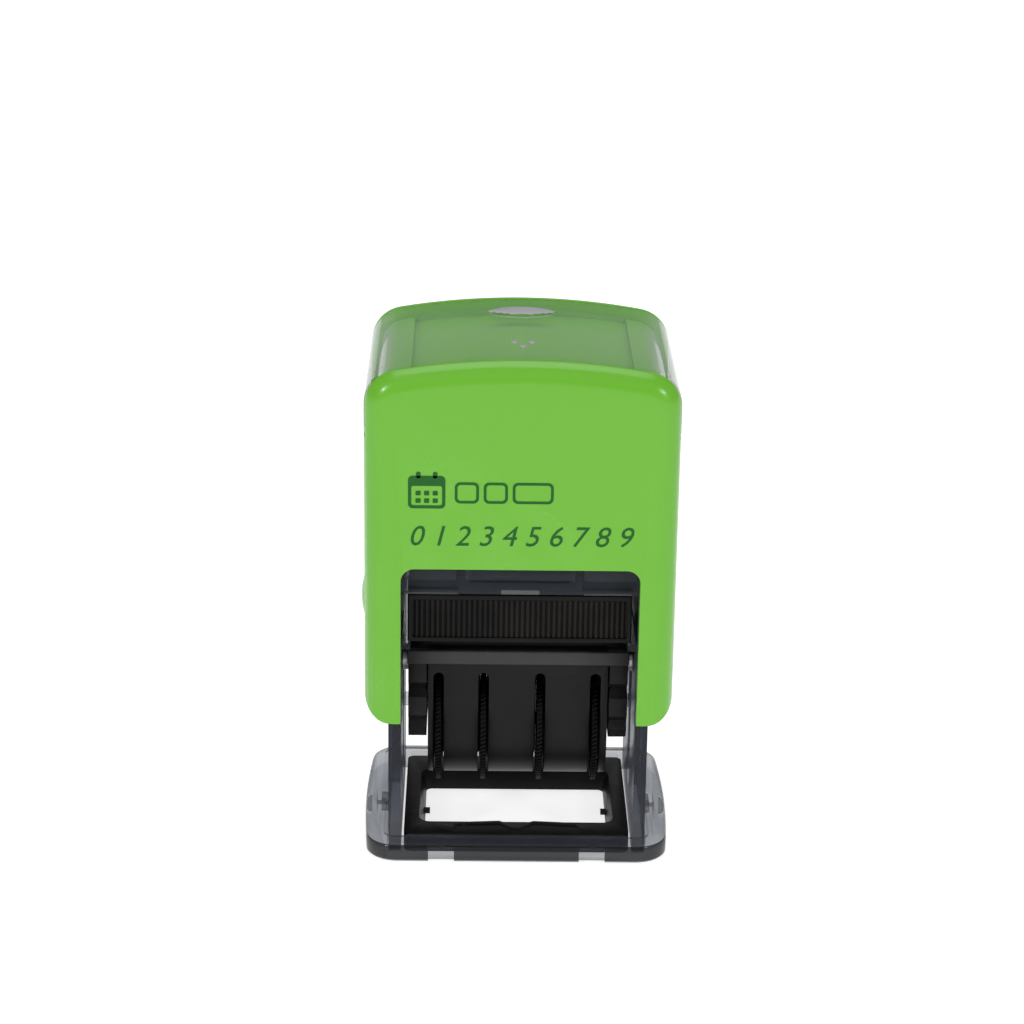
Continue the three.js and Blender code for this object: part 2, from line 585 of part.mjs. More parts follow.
function dateBand({ band }) {
  const corner = FACE_H - BAND_T - PLATEN_R;
  const circles = (grow) => [
    [0, WHEEL_H, BAND_CORE_R + grow],
    [PLATEN_Y - PLATEN_R, corner, PLATEN_R + 0.04 + grow],
    [-PLATEN_Y + PLATEN_R, corner, PLATEN_R + 0.04 + grow],
  ];
  const outline = new THREE.Shape(beltAround(circles(BAND_T - 0.04)));
  outline.holes.push(new THREE.Path(beltAround(circles(0)).reverse()));
  return prismX(outline, band[0], band[1]);
}

const wheelAxle = () => rodX(AXLE_R, -BODY_X + 0.05, BODY_X - 0.05, 0, WHEEL_H, 12);

// ---------- return spring ----------
function returnSpring() {
  const low = TRAY_FLOOR + TRAY_FLOOR_T + FIT + WIRE_R;
  const high = ROOF_UNDER - FIT - WIRE_R;
  class Helix extends THREE.Curve {
    getPoint(t, target = new THREE.Vector3()) {
      const a = 2 * Math.PI * SPRING_TURNS * t;
      // the first and last turns are closed: most of the rise is in the middle
      const rise = THREE.MathUtils.smoothstep(t, 0.04, 0.96) * 0.5 + t * 0.5;
      return target.set(SPRING_R * Math.cos(a), SPRING_R * Math.sin(a), low + (high - low) * rise);
    }
  }
  const wire = new THREE.Shape().absarc(0, 0, WIRE_R, 0, 2 * Math.PI);
  return solid(new THREE.ExtrudeGeometry(wire, {
    extrudePath: new Helix(), steps: SPRING_TURNS * 18, curveSegments: 3, bevelEnabled: false,
  }));
}

// ---------- assembly ----------
function node(name, made, material) {
  const mesh = new THREE.Mesh(geometryOf(made), material);
  mesh.name = name;
  return mesh;
}

function standGroup() {
  const group = new THREE.Group();
  group.add(
    node("inner_frame", innerFrame(), SMOKE),
    node("foot_frame", footFrame(), SMOKE),
    node("base_insert", baseInsert(), BLACK),
    node("return_spring", returnSpring(), STEEL),
  );
  return group;
}

function housingGroup() {
  const group = new THREE.Group();
  group.add(
    node("outer_housing", outerHousing(), GREEN),
    node("index_cover", indexCover(), CLEAR),
    node("lock_button_left", lockButton(-1), GREEN),
    node("lock_button_right", lockButton(1), GREEN),
    node("pivot_pin_left", pivotPin(-1), STEEL),
    node("pivot_pin_right", pivotPin(1), STEEL),
  );
  return group;
}

function cartridgeGroup() {
  const group = new THREE.Group();
  group.add(node("ink_cartridge", inkCartridge(), BLACK), node("ink_pad", inkPad(), FELT));
  return group;
}

function daterGroup() {
  const group = new THREE.Group();
  group.position.set(0, MECH_Y, PIVOT_Z);
  group.add(
    node("date_carriage", carriage(), BLACK),
    node("platen_bar", platenBar(), BLACK),
    node("band_cover", bandCover(), BLACK),
    node("flip_cam_left", flipCam(-1), BLACK),
    node("flip_cam_right", flipCam(1), BLACK),
    node("wheel_axle", wheelAxle(), STEEL),
  );
  for (const wheel of WHEELS) {
    group.add(
      node(`${wheel.name}_wheel`, dateWheel(wheel), BLACK),
      node(`${wheel.name}_band`, dateBand(wheel), RUBBER),
    );
  }
  return group;
}

const stamp = new THREE.Group();
stamp.add(standGroup(), housingGroup(), cartridgeGroup(), daterGroup());

export default stamp;
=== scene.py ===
import bpy
import bmesh
import math
from mathutils import Matrix, Vector


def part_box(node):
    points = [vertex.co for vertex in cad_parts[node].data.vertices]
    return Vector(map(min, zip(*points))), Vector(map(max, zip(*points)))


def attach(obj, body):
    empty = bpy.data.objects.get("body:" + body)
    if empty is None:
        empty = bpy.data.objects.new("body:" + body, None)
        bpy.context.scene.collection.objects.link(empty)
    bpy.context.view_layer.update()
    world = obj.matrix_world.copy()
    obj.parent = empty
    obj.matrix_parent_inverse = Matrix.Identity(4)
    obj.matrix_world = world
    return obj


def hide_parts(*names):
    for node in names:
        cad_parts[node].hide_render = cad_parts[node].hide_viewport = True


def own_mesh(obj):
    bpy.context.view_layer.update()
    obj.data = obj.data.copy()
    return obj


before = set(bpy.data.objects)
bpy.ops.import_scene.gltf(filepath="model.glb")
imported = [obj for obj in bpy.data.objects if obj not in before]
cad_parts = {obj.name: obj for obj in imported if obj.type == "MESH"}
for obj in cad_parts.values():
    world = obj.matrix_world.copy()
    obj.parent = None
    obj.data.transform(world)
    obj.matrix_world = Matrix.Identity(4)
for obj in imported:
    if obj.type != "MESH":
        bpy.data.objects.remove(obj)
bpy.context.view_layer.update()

MM = 0.001  # pieces are shaped in millimetres and brought to metres when they are placed
PI = math.pi


def span(node):
    """Lowest and highest corners of a CAD node, in millimetres."""
    low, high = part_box(node)
    return low / MM, high / MM


def link(name, data):
    """A new object in the scene that carries the data."""
    made = bpy.data.objects.new(name, data)
    bpy.context.scene.collection.objects.link(made)
    return made


# ---- camera
def aim_camera():
    elevation, roll, yaw = (math.radians(angle) for angle in (19.753, -0.835, 0.806))
    target, distance = Vector((-0.859, 0, 36.91)) * MM, 315.48 * MM
    forward = Vector((0, math.cos(elevation), -math.sin(elevation)))
    right = Vector((1, 0, 0))
    up = right.cross(forward)
    across = right * math.cos(roll) - up * math.sin(roll)
    upward = right * math.sin(roll) + up * math.cos(roll)
    axes = Matrix((across, upward, -forward)).transposed().to_4x4()
    data = bpy.data.cameras.new("stamp_camera")
    data.lens, data.sensor_width, data.clip_start = 98.866, 36, 0.01
    camera = link("stamp_camera", data)
    stand = Matrix.Translation(target - forward * distance)
    camera.matrix_world = Matrix.Rotation(-yaw, 4, "Z") @ stand @ axes
    bpy.context.scene.camera = camera


# ---- shader groups
class Nodes:
    """A node tree with short words for adding nodes and links."""

    def __init__(self, tree):
        self.tree = tree

    def add(self, kind, values=None, **settings):
        node = self.tree.nodes.new(kind)
        for name, value in settings.items():
            setattr(node, name, value)
        for key, value in (values or {}).items():
            if isinstance(value, bpy.types.NodeSocket):
                self.tree.links.new(value, node.inputs[key])
            else:
                node.inputs[key].default_value = value
        return node

    def math(self, operation, *terms, clamp=False):
        return self.add("ShaderNodeMath", dict(enumerate(terms)), operation=operation,
                        use_clamp=clamp).outputs[0]

    def times(self, a, b, clamp=False):
        return self.math("MULTIPLY", a, b, clamp=clamp)

    def xyz(self, x=0.0, y=0.0, z=0.0):
        return self.add("ShaderNodeCombineXYZ", {0: x, 1: y, 2: z}).outputs[0]

    def blend(self, factor, a, b):
        return self.add("ShaderNodeMix", {0: factor, 6: a, 7: b}, data_type="RGBA").outputs[2]

    def noise(self, vector, scale, detail=3.0, roughness=0.55):
        return self.add("ShaderNodeTexNoise", {"Vector": vector, "Scale": scale, "Detail": detail,
                                               "Roughness": roughness}).outputs[0]

    def ramp(self, factor, low, high):
        return self.add("ShaderNodeMapRange", {0: factor, 1: low, 2: high}).outputs[0]


def shader_group(name, inputs, outputs, fill):
    """One shared effect, with named sockets. Each input is (name, type, default)."""
    tree = bpy.data.node_groups.new(name, "ShaderNodeTree")
    for socket, kind, value in inputs:
        made = tree.interface.new_socket(name=socket, in_out="INPUT", socket_type=kind)
        made.default_value = value
    for socket, kind in outputs:
        tree.interface.new_socket(name=socket, in_out="OUTPUT", socket_type=kind)
    start, end = tree.nodes.new("NodeGroupInput"), tree.nodes.new("NodeGroupOutput")
    for socket, value in fill(Nodes(tree), start.outputs).items():
        tree.links.new(value, end.inputs[socket])
    return tree


FLOAT, COLOR, VECTOR = "NodeSocketFloat", "NodeSocketColor", "NodeSocketVector"
# a mask is empty up to its first value and full from its second
SHARP_EDGE, WORN_PATCH, HAIRLINE = (0.51, 0.58), (0.42, 0.68), (0.66, 0.72)
FACES_UP, LINT = (0.2, 0.95), (0.55, 0.74)
LINT_COLOR = (0.42, 0.40, 0.38, 1.0)


def moulded_grain_nodes(n, given):
    """The spark-eroded texture of a mould: fine pits over a slight long wave."""
    pits = n.noise(given["Place"], given["Pit Scale"], 2.0, 0.6)
    wave = n.noise(given["Place"], given["Wave Scale"], 1.0, 0.4)
    return {"Height": n.math("ADD", n.times(pits, given["Pits"]), n.times(wave, given["Waves"]))}


def handling_nodes(n, given):
    """Rubbed edges, hairline scratches and the faint smears that hands leave."""
    edge = n.ramp(n.add("ShaderNodeNewGeometry").outputs["Pointiness"], *SHARP_EDGE)
    patch = n.ramp(n.noise(given["Place"], given["Patch Scale"], 4.0), *WORN_PATCH)
    stretched = n.add("ShaderNodeMapping", {"Vector": given["Place"], "Scale": (1.0, 7.0, 0.35),
                                            "Rotation": (0.3, 0.5, 0.4)}).outputs[0]
    hairs = n.ramp(n.noise(stretched, n.times(given["Patch Scale"], 14.0), 2.0), *HAIRLINE)
    worn = n.times(n.times(edge, patch), given["Wear"], clamp=True)
    scratched = n.times(n.times(hairs, patch), given["Scratches"], clamp=True)
    mask = n.math("MAXIMUM", worn, scratched)
    smear = n.times(n.math("SUBTRACT", patch, 0.5), given["Smears"])
    smeared = n.math("ADD", given["Roughness"], smear)
    return {"Color": n.blend(mask, given["Color"], given["Worn Color"]),
            "Roughness": n.math("ADD", smeared, n.times(mask, 0.2), clamp=True)}


def dust_nodes(n, given):
    """Pale lint that settles on what faces up."""
    normal = n.add("ShaderNodeNewGeometry").outputs["Normal"]
    up = n.add("ShaderNodeSeparateXYZ", {0: normal}).outputs[2]
    specks = n.ramp(n.noise(given["Place"], given["Scale"], 5.0, 0.7), *LINT)
    amount = n.times(n.times(n.ramp(up, *FACES_UP), specks), given["Amount"], clamp=True)
    return {"Color": n.blend(amount, given["Color"], LINT_COLOR)}


PLACE, BASE = ("Place", VECTOR, (0, 0, 0)), ("Color", COLOR, (0.5, 0.5, 0.5, 1))
GROUPS = {
    "grain": shader_group("moulded_grain", [
        PLACE, ("Pit Scale", FLOAT, 6000.0), ("Wave Scale", FLOAT, 300.0), ("Pits", FLOAT, 1.0),
        ("Waves", FLOAT, 0.3)], [("Height", FLOAT)], moulded_grain_nodes),
    "handling": shader_group("handling", [
        PLACE, BASE, ("Worn Color", COLOR, (0.7, 0.7, 0.7, 1)), ("Roughness", FLOAT, 0.4),
        ("Patch Scale", FLOAT, 160.0), ("Wear", FLOAT, 0.2), ("Scratches", FLOAT, 0.2),
        ("Smears", FLOAT, 0.08)], [("Color", COLOR), ("Roughness", FLOAT)], handling_nodes),
    "dust": shader_group("settled_dust", [
        PLACE, BASE, ("Scale", FLOAT, 900.0), ("Amount", FLOAT, 0.1)],
        [("Color", COLOR)], dust_nodes),
}


# ---- materials
def moulded(name, color, worn, roughness, pits=0.5, waves=0.4, pit_scale=6000.0, wear=0.15,
            scratches=0.15, smears=0.06, dust=0.0, bump=0.15, depth=0.00002, **shader):
    """Plastic, rubber or metal: handling varies its colour and gloss, and its grain is a bump."""
    material = bpy.data.materials.new(name)
    material.use_nodes = True
    tree = material.node_tree
    n = Nodes(tree)
    surface = tree.nodes["Principled BSDF"]
    place = n.add("ShaderNodeTexCoord").outputs["Object"]

    def effect(kind, values):
        return n.add("ShaderNodeGroup", {"Place": place, **values}, node_tree=GROUPS[kind]).outputs

    handled = effect("handling", {
        "Color": (*color, 1), "Worn Color": (*worn, 1), "Roughness": roughness, "Wear": wear,
        "Scratches": scratches, "Smears": smears})
    tinted = handled["Color"]
    if dust:
        tinted = effect("dust", {"Color": tinted, "Amount": dust})["Color"]
    grain = effect("grain", {"Pit Scale": pit_scale, "Pits": pits, "Waves": waves})["Height"]
    relief = n.add("ShaderNodeBump", {"Height": grain, "Strength": bump, "Distance": depth})
    for socket, value in (("Base Color", tinted), ("Roughness", handled["Roughness"]),
                          ("Normal", relief.outputs[0])):
        tree.links.new(value, surface.inputs[socket])
    for key, value in shader.items():
        surface.inputs[key.replace("_", " ")].default_value = value
    material.diffuse_color = (*color, 1)
    return material


def see_through(name, color, reflection_veil, body, roughness, **shader):
    """Clear plastic whose tint deepens with its thickness. Its body is (tint, density per metre).

    The reflection veil is how much its surface hides seen square on, how much at a grazing
    angle, and the slant at which it starts to thicken, from 0 square on to 1 grazing. Where it
    hides, the surface colour shows in place of what lies behind: a painted reflection that
    grows towards grazing angles."""
    (square_on, grazing, start), (tint, density) = reflection_veil, body
    material = moulded(name, color, color, roughness, pits=0.2, waves=0.6, wear=0.0,
                       scratches=0.35, smears=0.03, bump=0.05, **shader)
    tree = material.node_tree
    n = Nodes(tree)
    slant = n.add("ShaderNodeLayerWeight", {"Blend": 0.5}).outputs["Facing"]
    painted_reflection = n.add("ShaderNodeMapRange", {0: slant, 1: start, 2: 1.0, 3: square_on, 4: grazing})
    tree.links.new(painted_reflection.outputs[0], tree.nodes["Principled BSDF"].inputs["Alpha"])
    volume = n.add("ShaderNodeVolumeAbsorption", {"Color": (*tint, 1), "Density": density})
    tree.links.new(volume.outputs[0], tree.nodes["Material Output"].inputs["Volume"])
    return material


GREEN = moulded("lime_gloss_plastic", (0.132, 0.430, 0.021), (0.24, 0.56, 0.09), 0.25, pits=0.6,
                waves=0.1, wear=0.12, scratches=0.02, smears=0.02, bump=0.06,
                Specular_IOR_Level=0.45)
BLACK = moulded("black_satin_plastic", (0.0070, 0.0058, 0.0058), (0.035, 0.031, 0.031), 0.42,
                pits=0.9, wear=0.3, scratches=0.2, dust=0.05, bump=0.35, Specular_IOR_Level=0.16)
GRIP = moulded("black_grip_plastic", (0.0065, 0.0058, 0.0056), (0.04, 0.034, 0.030), 0.4,
               pits=0.7, wear=0.25, scratches=0.2, dust=0.05, bump=0.3, Specular_IOR_Level=0.11)
# darker than the other black plastic: painted shade for the wheels deep in the band cover's slots
WHEEL_SHADED = moulded("black_wheel_plastic", (0.0045, 0.0040, 0.0040), (0.020, 0.018, 0.018), 0.55,
                pits=0.7, scratches=0.1, dust=0.03, bump=0.2, Specular_IOR_Level=0.08)
# lighter than the other black plastic: painted light on the carriage's faces that look up and
# forward
CARRIAGE_LIT = moulded("carriage_satin_plastic", (0.0200, 0.0190, 0.0200), (0.07, 0.07, 0.07), 0.40,
                   pits=0.8, wear=0.3, scratches=0.2, dust=0.05, bump=0.3, Specular_IOR_Level=0.4)
FRAME_TAB = moulded("smoke_plastic_tab", (0.075, 0.080, 0.080), (0.10, 0.10, 0.10), 0.3, pits=0.3,
                    wear=0.1, scratches=0.1, bump=0.1, Specular_IOR_Level=0.3)
STEEL = moulded("drawn_steel", (0.56, 0.56, 0.58), (0.75, 0.75, 0.76), 0.3, pits=0.6, wear=0.2,
                scratches=0.4, bump=0.2, Metallic=1.0)
RUBBER = moulded("band_rubber", (0.014, 0.013, 0.013), (0.04, 0.037, 0.04), 0.68, pits=1.2,
                 wear=0.2, scratches=0.0, dust=0.06, bump=0.5, Specular_IOR_Level=0.25)
# felt soaked with black ink: matted fibres, damp and nearly black
FELT = moulded("inked_felt", (0.006, 0.006, 0.011), (0.02, 0.02, 0.035), 0.55, pits=1.4, waves=0.8,
               pit_scale=3800.0, wear=0.0, scratches=0.0, smears=0.25, bump=0.8, depth=0.00012,
               Sheen_Weight=0.3)
INK = moulded("printed_ink", (0.006, 0.100, 0.008), (0.05, 0.2, 0.04), 0.5, pits=0.8, wear=0.0,
              scratches=0.3, smears=0.08, bump=0.2, Specular_IOR_Level=0.3)
# the colour of each clear plastic below shows where its veil hides: painted reflection, strongest
# at grazing angles
CLEAR_BODY, SMOKE_BODY = ((0.7, 0.65, 0.85), 15.0), ((0.0, 0.09, 0.28), 78.0)
CLEAR = see_through("clear_cover_plastic", (0.52, 0.50, 0.56), (0.04, 0.92, 0.70), CLEAR_BODY, 0.08)
# a paler, less clear copy of the clear plastic: painted highlight on the front-facing walls of the
# scoop and dots
SCOOP_HIGHLIGHT = see_through("frosted_clear_plastic", (0.66, 0.64, 0.70), (0.45, 0.95, 0.3), CLEAR_BODY,
                      0.25)
SMOKE = see_through("smoke_plastic", (0.068, 0.076, 0.094), (0.28, 0.88, 0.5), SMOKE_BODY, 0.30,
                    IOR=1.28)
# a darker, nearly opaque copy of the smoke plastic: painted shade on the foot's front rim
SMOKE_EDGE_SHADE = see_through("smoke_plastic_edge", (0.0075, 0.0085, 0.0115), (0.90, 0.97, 0.5),
                         SMOKE_BODY, 0.16, IOR=1.3)
# a darker, less clear copy of the smoke plastic: painted shade on the arms' narrow front and back
# faces
SMOKE_RIM_SHADE = see_through("smoke_plastic_rim", (0.022, 0.024, 0.030), (0.72, 0.95, 0.5), SMOKE_BODY,
                        0.2, IOR=1.3)


# ---- shaping, in millimetres
FLAT_ANGLE, HARD_ANGLE = math.radians(0.05), math.radians(35)


def mesh_piece(name, points, faces):
    mesh = bpy.data.meshes.new(name)
    mesh.from_pydata([tuple(p) for p in points], [], faces)
    b = bmesh.new()
    b.from_mesh(mesh)
    bmesh.ops.remove_doubles(b, verts=b.verts, dist=1e-5)
    bmesh.ops.recalc_face_normals(b, faces=b.faces)
    b.to_mesh(mesh)
    b.free()
    return link(name, mesh)


def arc(cx, cy, r, start, end, steps):
    """Points on a circular arc; the angles are in quarter turns."""
    turns = [(start + (end - start) * i / steps) * PI / 2 for i in range(steps + 1)]
    return [(cx + r * math.cos(a), cy + r * math.sin(a)) for a in turns]


def rounded(x0, x1, y0, y1, low, high=None, steps=8):
    """A rectangle with round corners: one radius for the lower pair, one for the upper pair."""
    high = low if high is None else high
    corners = ((x1 - low, y0 + low, low, -1), (x1 - high, y1 - high, high, 0),
               (x0 + high, y1 - high, high, 1), (x0 + low, y0 + low, low, 2))
    points = []
    for cx, cy, r, quarter in corners:
        points += arc(cx, cy, r, quarter, quarter + 1, steps) if r else [(cx, cy)]
    return points


PLANES = {"X": lambda u, v, w: (w, u, v), "Y": lambda u, v, w: (u, w, v),
          "Z": lambda u, v, w: (u, v, w)}


def loft(name, rings):
    """A closed form through equal rings of points, capped at both ends."""
    count = len(rings[0])
    faces = [list(range(count)), [len(rings) * count - 1 - i for i in range(count)]]
    for k in range(len(rings) - 1):
        for i in range(count):
            j = (i + 1) % count
            faces.append([k * count + i, k * count + j, (k + 1) * count + j, (k + 1) * count + i])
    return mesh_piece(name, [p for ring in rings for p in ring], faces)


def prism(axis, outline, low, high, name="tool"):
    """An outline across an axis, extruded from low to high along it."""
    return loft(name, [[PLANES[axis](u, v, w) for u, v in outline] for w in (low, high)])


def block(x0, x1, y0, y1, z0, z1, name="tool"):
    return prism("Z", [(x0, y0), (x1, y0), (x1, y1), (x0, y1)], z0, z1, name)


def rod(axis, r, low, high, centre, steps=32):
    return prism(axis, arc(*centre, r, 0, 4, steps)[:-1], low, high)


def mirrored(x0, x1, *rest):
    """The same block on both sides of the middle plane."""
    return [block(x0, x1, *rest), block(-x1, -x0, *rest)]


def evaluated_mesh(piece):
    bpy.context.view_layer.update()
    return bpy.data.meshes.new_from_object(
        piece.evaluated_get(bpy.context.evaluated_depsgraph_get()))


def settle(piece):
    """The evaluated shape becomes the piece's own mesh, with no modifier left."""
    mesh = evaluated_mesh(piece)
    piece.modifiers.clear()
    piece.data = mesh
    return piece


def combine(body, tools, operation):
    for tool in tools:
        boolean = body.modifiers.new("boolean", "BOOLEAN")
        boolean.operation = operation
        boolean.solver = "EXACT"
        boolean.object = tool
    settle(body)
    for tool in tools:
        bpy.data.objects.remove(tool)
    return body


def fuse(body, *tools):
    return combine(body, tools, "UNION")


def carve(body, *tools):
    return combine(body, tools, "DIFFERENCE")


def soften(piece, width, segments=2):
    """Flat faces are tidied, then every hard edge is rounded."""
    b = bmesh.new()
    b.from_mesh(piece.data)
    bmesh.ops.remove_doubles(b, verts=b.verts, dist=2e-4)
    bmesh.ops.dissolve_limit(b, angle_limit=FLAT_ANGLE, verts=b.verts, edges=b.edges)
    b.to_mesh(piece.data)
    b.free()
    if width:
        bevel = piece.modifiers.new("round_edges", "BEVEL")
        bevel.width = width
        bevel.segments = segments
        bevel.limit_method = "ANGLE"
        bevel.angle_limit = HARD_ANGLE
        bevel.miter_outer = "MITER_ARC"
        bevel.use_clamp_overlap = True
        settle(piece)
    return piece


def place(piece, name, material, body, slot, replaces=None, flat_angle=40):
    """The finished piece goes to metres, gets its finish and rides on its body."""
    mesh = piece.data
    piece.name = mesh.name = name
    mesh.transform(Matrix.Scale(MM, 4))
    mesh.materials.clear()
    mesh.materials.append(material)
    mesh.polygons.foreach_set("use_smooth", [True] * len(mesh.polygons))
    mesh.set_sharp_from_angle(angle=math.radians(flat_angle))
    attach(piece, body)
    if replaces:
        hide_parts(replaces)
    return piece


def dressed_copy(node, width):
    """A copy of a CAD node with its hard edges rounded."""
    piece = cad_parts[node].copy()
    piece.data = piece.data.copy()
    piece.parent = None
    for key in list(piece.keys()):
        del piece[key]
    bpy.context.scene.collection.objects.link(piece)
    piece.data.transform(Matrix.Scale(1 / MM, 4))
    return soften(piece, width)


# ---- geometry node trees
def geometry_tree(name, inputs, build):
    """A geometry node tree with named inputs. It ends in Realize Instances and Set Material."""
    tree = bpy.data.node_groups.new(name, "GeometryNodeTree")
    sockets = tree.interface
    sockets.new_socket(name="Geometry", in_out="OUTPUT", socket_type="NodeSocketGeometry")
    for socket, kind, value in inputs:
        made = sockets.new_socket(name=socket, in_out="INPUT", socket_type=kind)
        made.default_value = value
    sockets.new_socket(name="Finish", in_out="INPUT", socket_type="NodeSocketMaterial")
    start, end = tree.nodes.new("NodeGroupInput"), tree.nodes.new("NodeGroupOutput")
    n = Nodes(tree)
    real = n.add("GeometryNodeRealizeInstances", {0: build(n, start.outputs)}).outputs[0]
    finish = n.add("GeometryNodeSetMaterial", {"Geometry": real,
                                               "Material": start.outputs["Finish"]})
    tree.links.new(finish.outputs[0], end.inputs[0])
    return tree


def grow(name, tree, finish, **values):
    """A piece grown by a geometry node tree and turned to a plain mesh."""
    piece = bpy.data.objects.new(name, bpy.data.meshes.new(name))
    modifier = piece.modifiers.new(name, "NODES")
    modifier.node_group = tree
    values["Finish"] = finish
    for item in tree.interface.items_tree:
        key = item.name.replace(" ", "_")
        if item.in_out == "INPUT" and key in values:
            modifier[item.identifier] = values[key]
    bpy.context.scene.collection.objects.link(piece)
    return settle(piece)


def rib_row_nodes(n, given):
    """Round-nosed ribs side by side along X."""
    rib = n.add("GeometryNodeMeshCylinder", {"Vertices": 14, "Radius": given["Rib Radius"],
                                             "Depth": given["Rib Length"]}).outputs[0]
    first_x = n.times(n.math("SUBTRACT", given["Count"], 1.0), n.times(given["Pitch"], -0.5))
    row = n.add("GeometryNodeMeshLine", {
        "Count": given["Count"], "Offset": n.xyz(given["Pitch"]),
        "Start Location": n.xyz(first_x, given["Front"], given["Middle Height"])}).outputs[0]
    return n.add("GeometryNodeInstanceOnPoints", {"Points": row, "Instance": rib}).outputs[0]


def toothed_rim_nodes(n, given):
    """Slanted teeth around the rim of a disc whose axis is X."""
    size = n.xyz(given["Tooth Width"], given["Tooth Thickness"], given["Tooth Height"])
    tooth = n.add("GeometryNodeTransform", {
        "Geometry": n.add("GeometryNodeMeshCube", {"Size": size}).outputs[0],
        "Translation": n.xyz(z=given["Radius"]), "Rotation": n.xyz(z=given["Slant"])}).outputs[0]
    points = n.add("GeometryNodeMeshLine", {"Count": given["Count"], "Offset": (0.0, 0.0, 0.0)})
    step = n.math("DIVIDE", 2 * PI, given["Count"])
    turn = n.times(n.add("GeometryNodeInputIndex").outputs[0], step)
    around = n.add("GeometryNodeInstanceOnPoints", {
        "Points": points.outputs[0], "Instance": tooth, "Rotation": n.xyz(turn)}).outputs[0]
    return n.add("GeometryNodeTransform", {"Geometry": around,
                                           "Translation": given["Centre"]}).outputs[0]


def coil_nodes(n, given):
    """A compression spring: a round wire along a helix whose end turns lie closer."""
    helix = n.add("GeometryNodeCurveSpiral", {
        "Resolution": given["Steps Per Turn"], "Rotations": given["Turns"], "Height": 1.0,
        "Start Radius": given["Coil Radius"], "End Radius": given["Coil Radius"],
        "Reverse": False}).outputs[0]
    position = n.add("GeometryNodeInputPosition").outputs[0]
    x, y, z = n.add("ShaderNodeSeparateXYZ", {0: position}).outputs
    eased = n.add("ShaderNodeMapRange", {0: z, 1: 0.04, 2: 0.96}, interpolation_type="SMOOTHSTEP")
    rise = n.times(n.math("ADD", eased.outputs[0], z), 0.5)
    height = n.math("ADD", n.times(rise, given["Rise"]), given["Seat"])
    path = n.add("GeometryNodeSetPosition", {"Geometry": helix, "Position": n.xyz(x, y, height)})
    wire = n.add("GeometryNodeCurvePrimitiveCircle", {"Resolution": 12,
                                                      "Radius": given["Wire Radius"]})
    return n.add("GeometryNodeCurveToMesh", {"Curve": path.outputs[0], "Fill Caps": True,
                                             "Profile Curve": wire.outputs[0]}).outputs[0]


INT = "NodeSocketInt"
RIB_ROW = geometry_tree("rib_row", [
    ("Count", INT, 40), ("Pitch", FLOAT, 0.58), ("Rib Radius", FLOAT, 0.16),
    ("Rib Length", FLOAT, 3.6), ("Front", FLOAT, 0.0), ("Middle Height", FLOAT, 0.0)],
    rib_row_nodes)
TOOTHED_RIM = geometry_tree("toothed_rim", [
    ("Count", INT, 48), ("Radius", FLOAT, 6.8), ("Tooth Width", FLOAT, 0.3),
    ("Tooth Thickness", FLOAT, 0.4), ("Tooth Height", FLOAT, 0.4), ("Slant", FLOAT, 0.4),
    ("Centre", VECTOR, (0, 0, 0))], toothed_rim_nodes)
COIL = geometry_tree("coil", [
    ("Steps Per Turn", INT, 40), ("Turns", FLOAT, 7.0), ("Coil Radius", FLOAT, 5.1),
    ("Wire Radius", FLOAT, 0.4), ("Seat", FLOAT, 0.0), ("Rise", FLOAT, 10.0)], coil_nodes)

# ---- sizes that pieces share
SHELL_LOW, SHELL_HIGH = span("outer_housing")
HALF_W, TOP, LEG_END = SHELL_HIGH.x, SHELL_HIGH.z, SHELL_LOW.z
FRONT, BACK = SHELL_LOW.y, SHELL_HIGH.y
CROWN_R = 78.6
SHOULDER_R = 4.0
EDGE_R, REAR_EDGE_R = 2.4, 0.35
LEG_CORNER_R = 3.1
COVER_LOW, COVER_HIGH = span("index_cover")
COVER_T = 1.2
SCOOP_Y = 7.1
GAP = 0.15
WINDOW_X, WINDOW_TOP = 13.0, 34.9
PIVOT = (-0.8, 19.65)
STROKE = 14.0
FACE_H = PIVOT[1] - STROKE
WHEEL_H = -7.55
AXLE = (PIVOT[0], PIVOT[1] + WHEEL_H)
BUTTON_Z = 27.0
THROUGH = (-30, 30)  # the ends of a tool that cuts right through
WHEELS = {  # finger disc's middle, the ends of the band beside it and the ends of its thick web
    "day_tens": (-8.9, (-8.4, -6.5), (-9.49, -8.41)),
    "day_units": (-3.85, (-6.2, -4.3), (-4.29, -3.21)),
    "month": (2.5, (-3.2, 2.05), (2.06, 3.14)),
    "year": (8.7, (3.15, 8.25), (8.26, 9.4)),
}
DISCS = [disc for disc, _, _ in WHEELS.values()]


# ---- outer housing
def arch(inset, steps=10, crown_steps=36):
    """The line over the top of the housing, from its right side to its left."""
    crown_z = TOP - CROWN_R
    shoulder_x = HALF_W - SHOULDER_R
    shoulder_z = crown_z + math.sqrt((CROWN_R - SHOULDER_R) ** 2 - shoulder_x ** 2)
    quarter = math.atan2(shoulder_z - crown_z, shoulder_x) / (PI / 2)
    right = arc(shoulder_x, shoulder_z, SHOULDER_R - inset, 0, quarter, steps)
    crown = arc(0, crown_z, CROWN_R - inset, quarter, 2 - quarter, crown_steps)
    left = arc(-shoulder_x, shoulder_z, SHOULDER_R - inset, 2 - quarter, 2, steps)
    return right + crown[1:-1] + left


def arch_band(outer, inner, low):
    """The outline between two arches, as the clear cover has."""
    over, under = arch(outer), arch(inner)
    left_leg, right_leg = ([(line[0], low) for line in ends]
                           for ends in ((over[-1], under[-1]), (under[0], over[0])))
    return over + left_leg + under[::-1] + right_leg


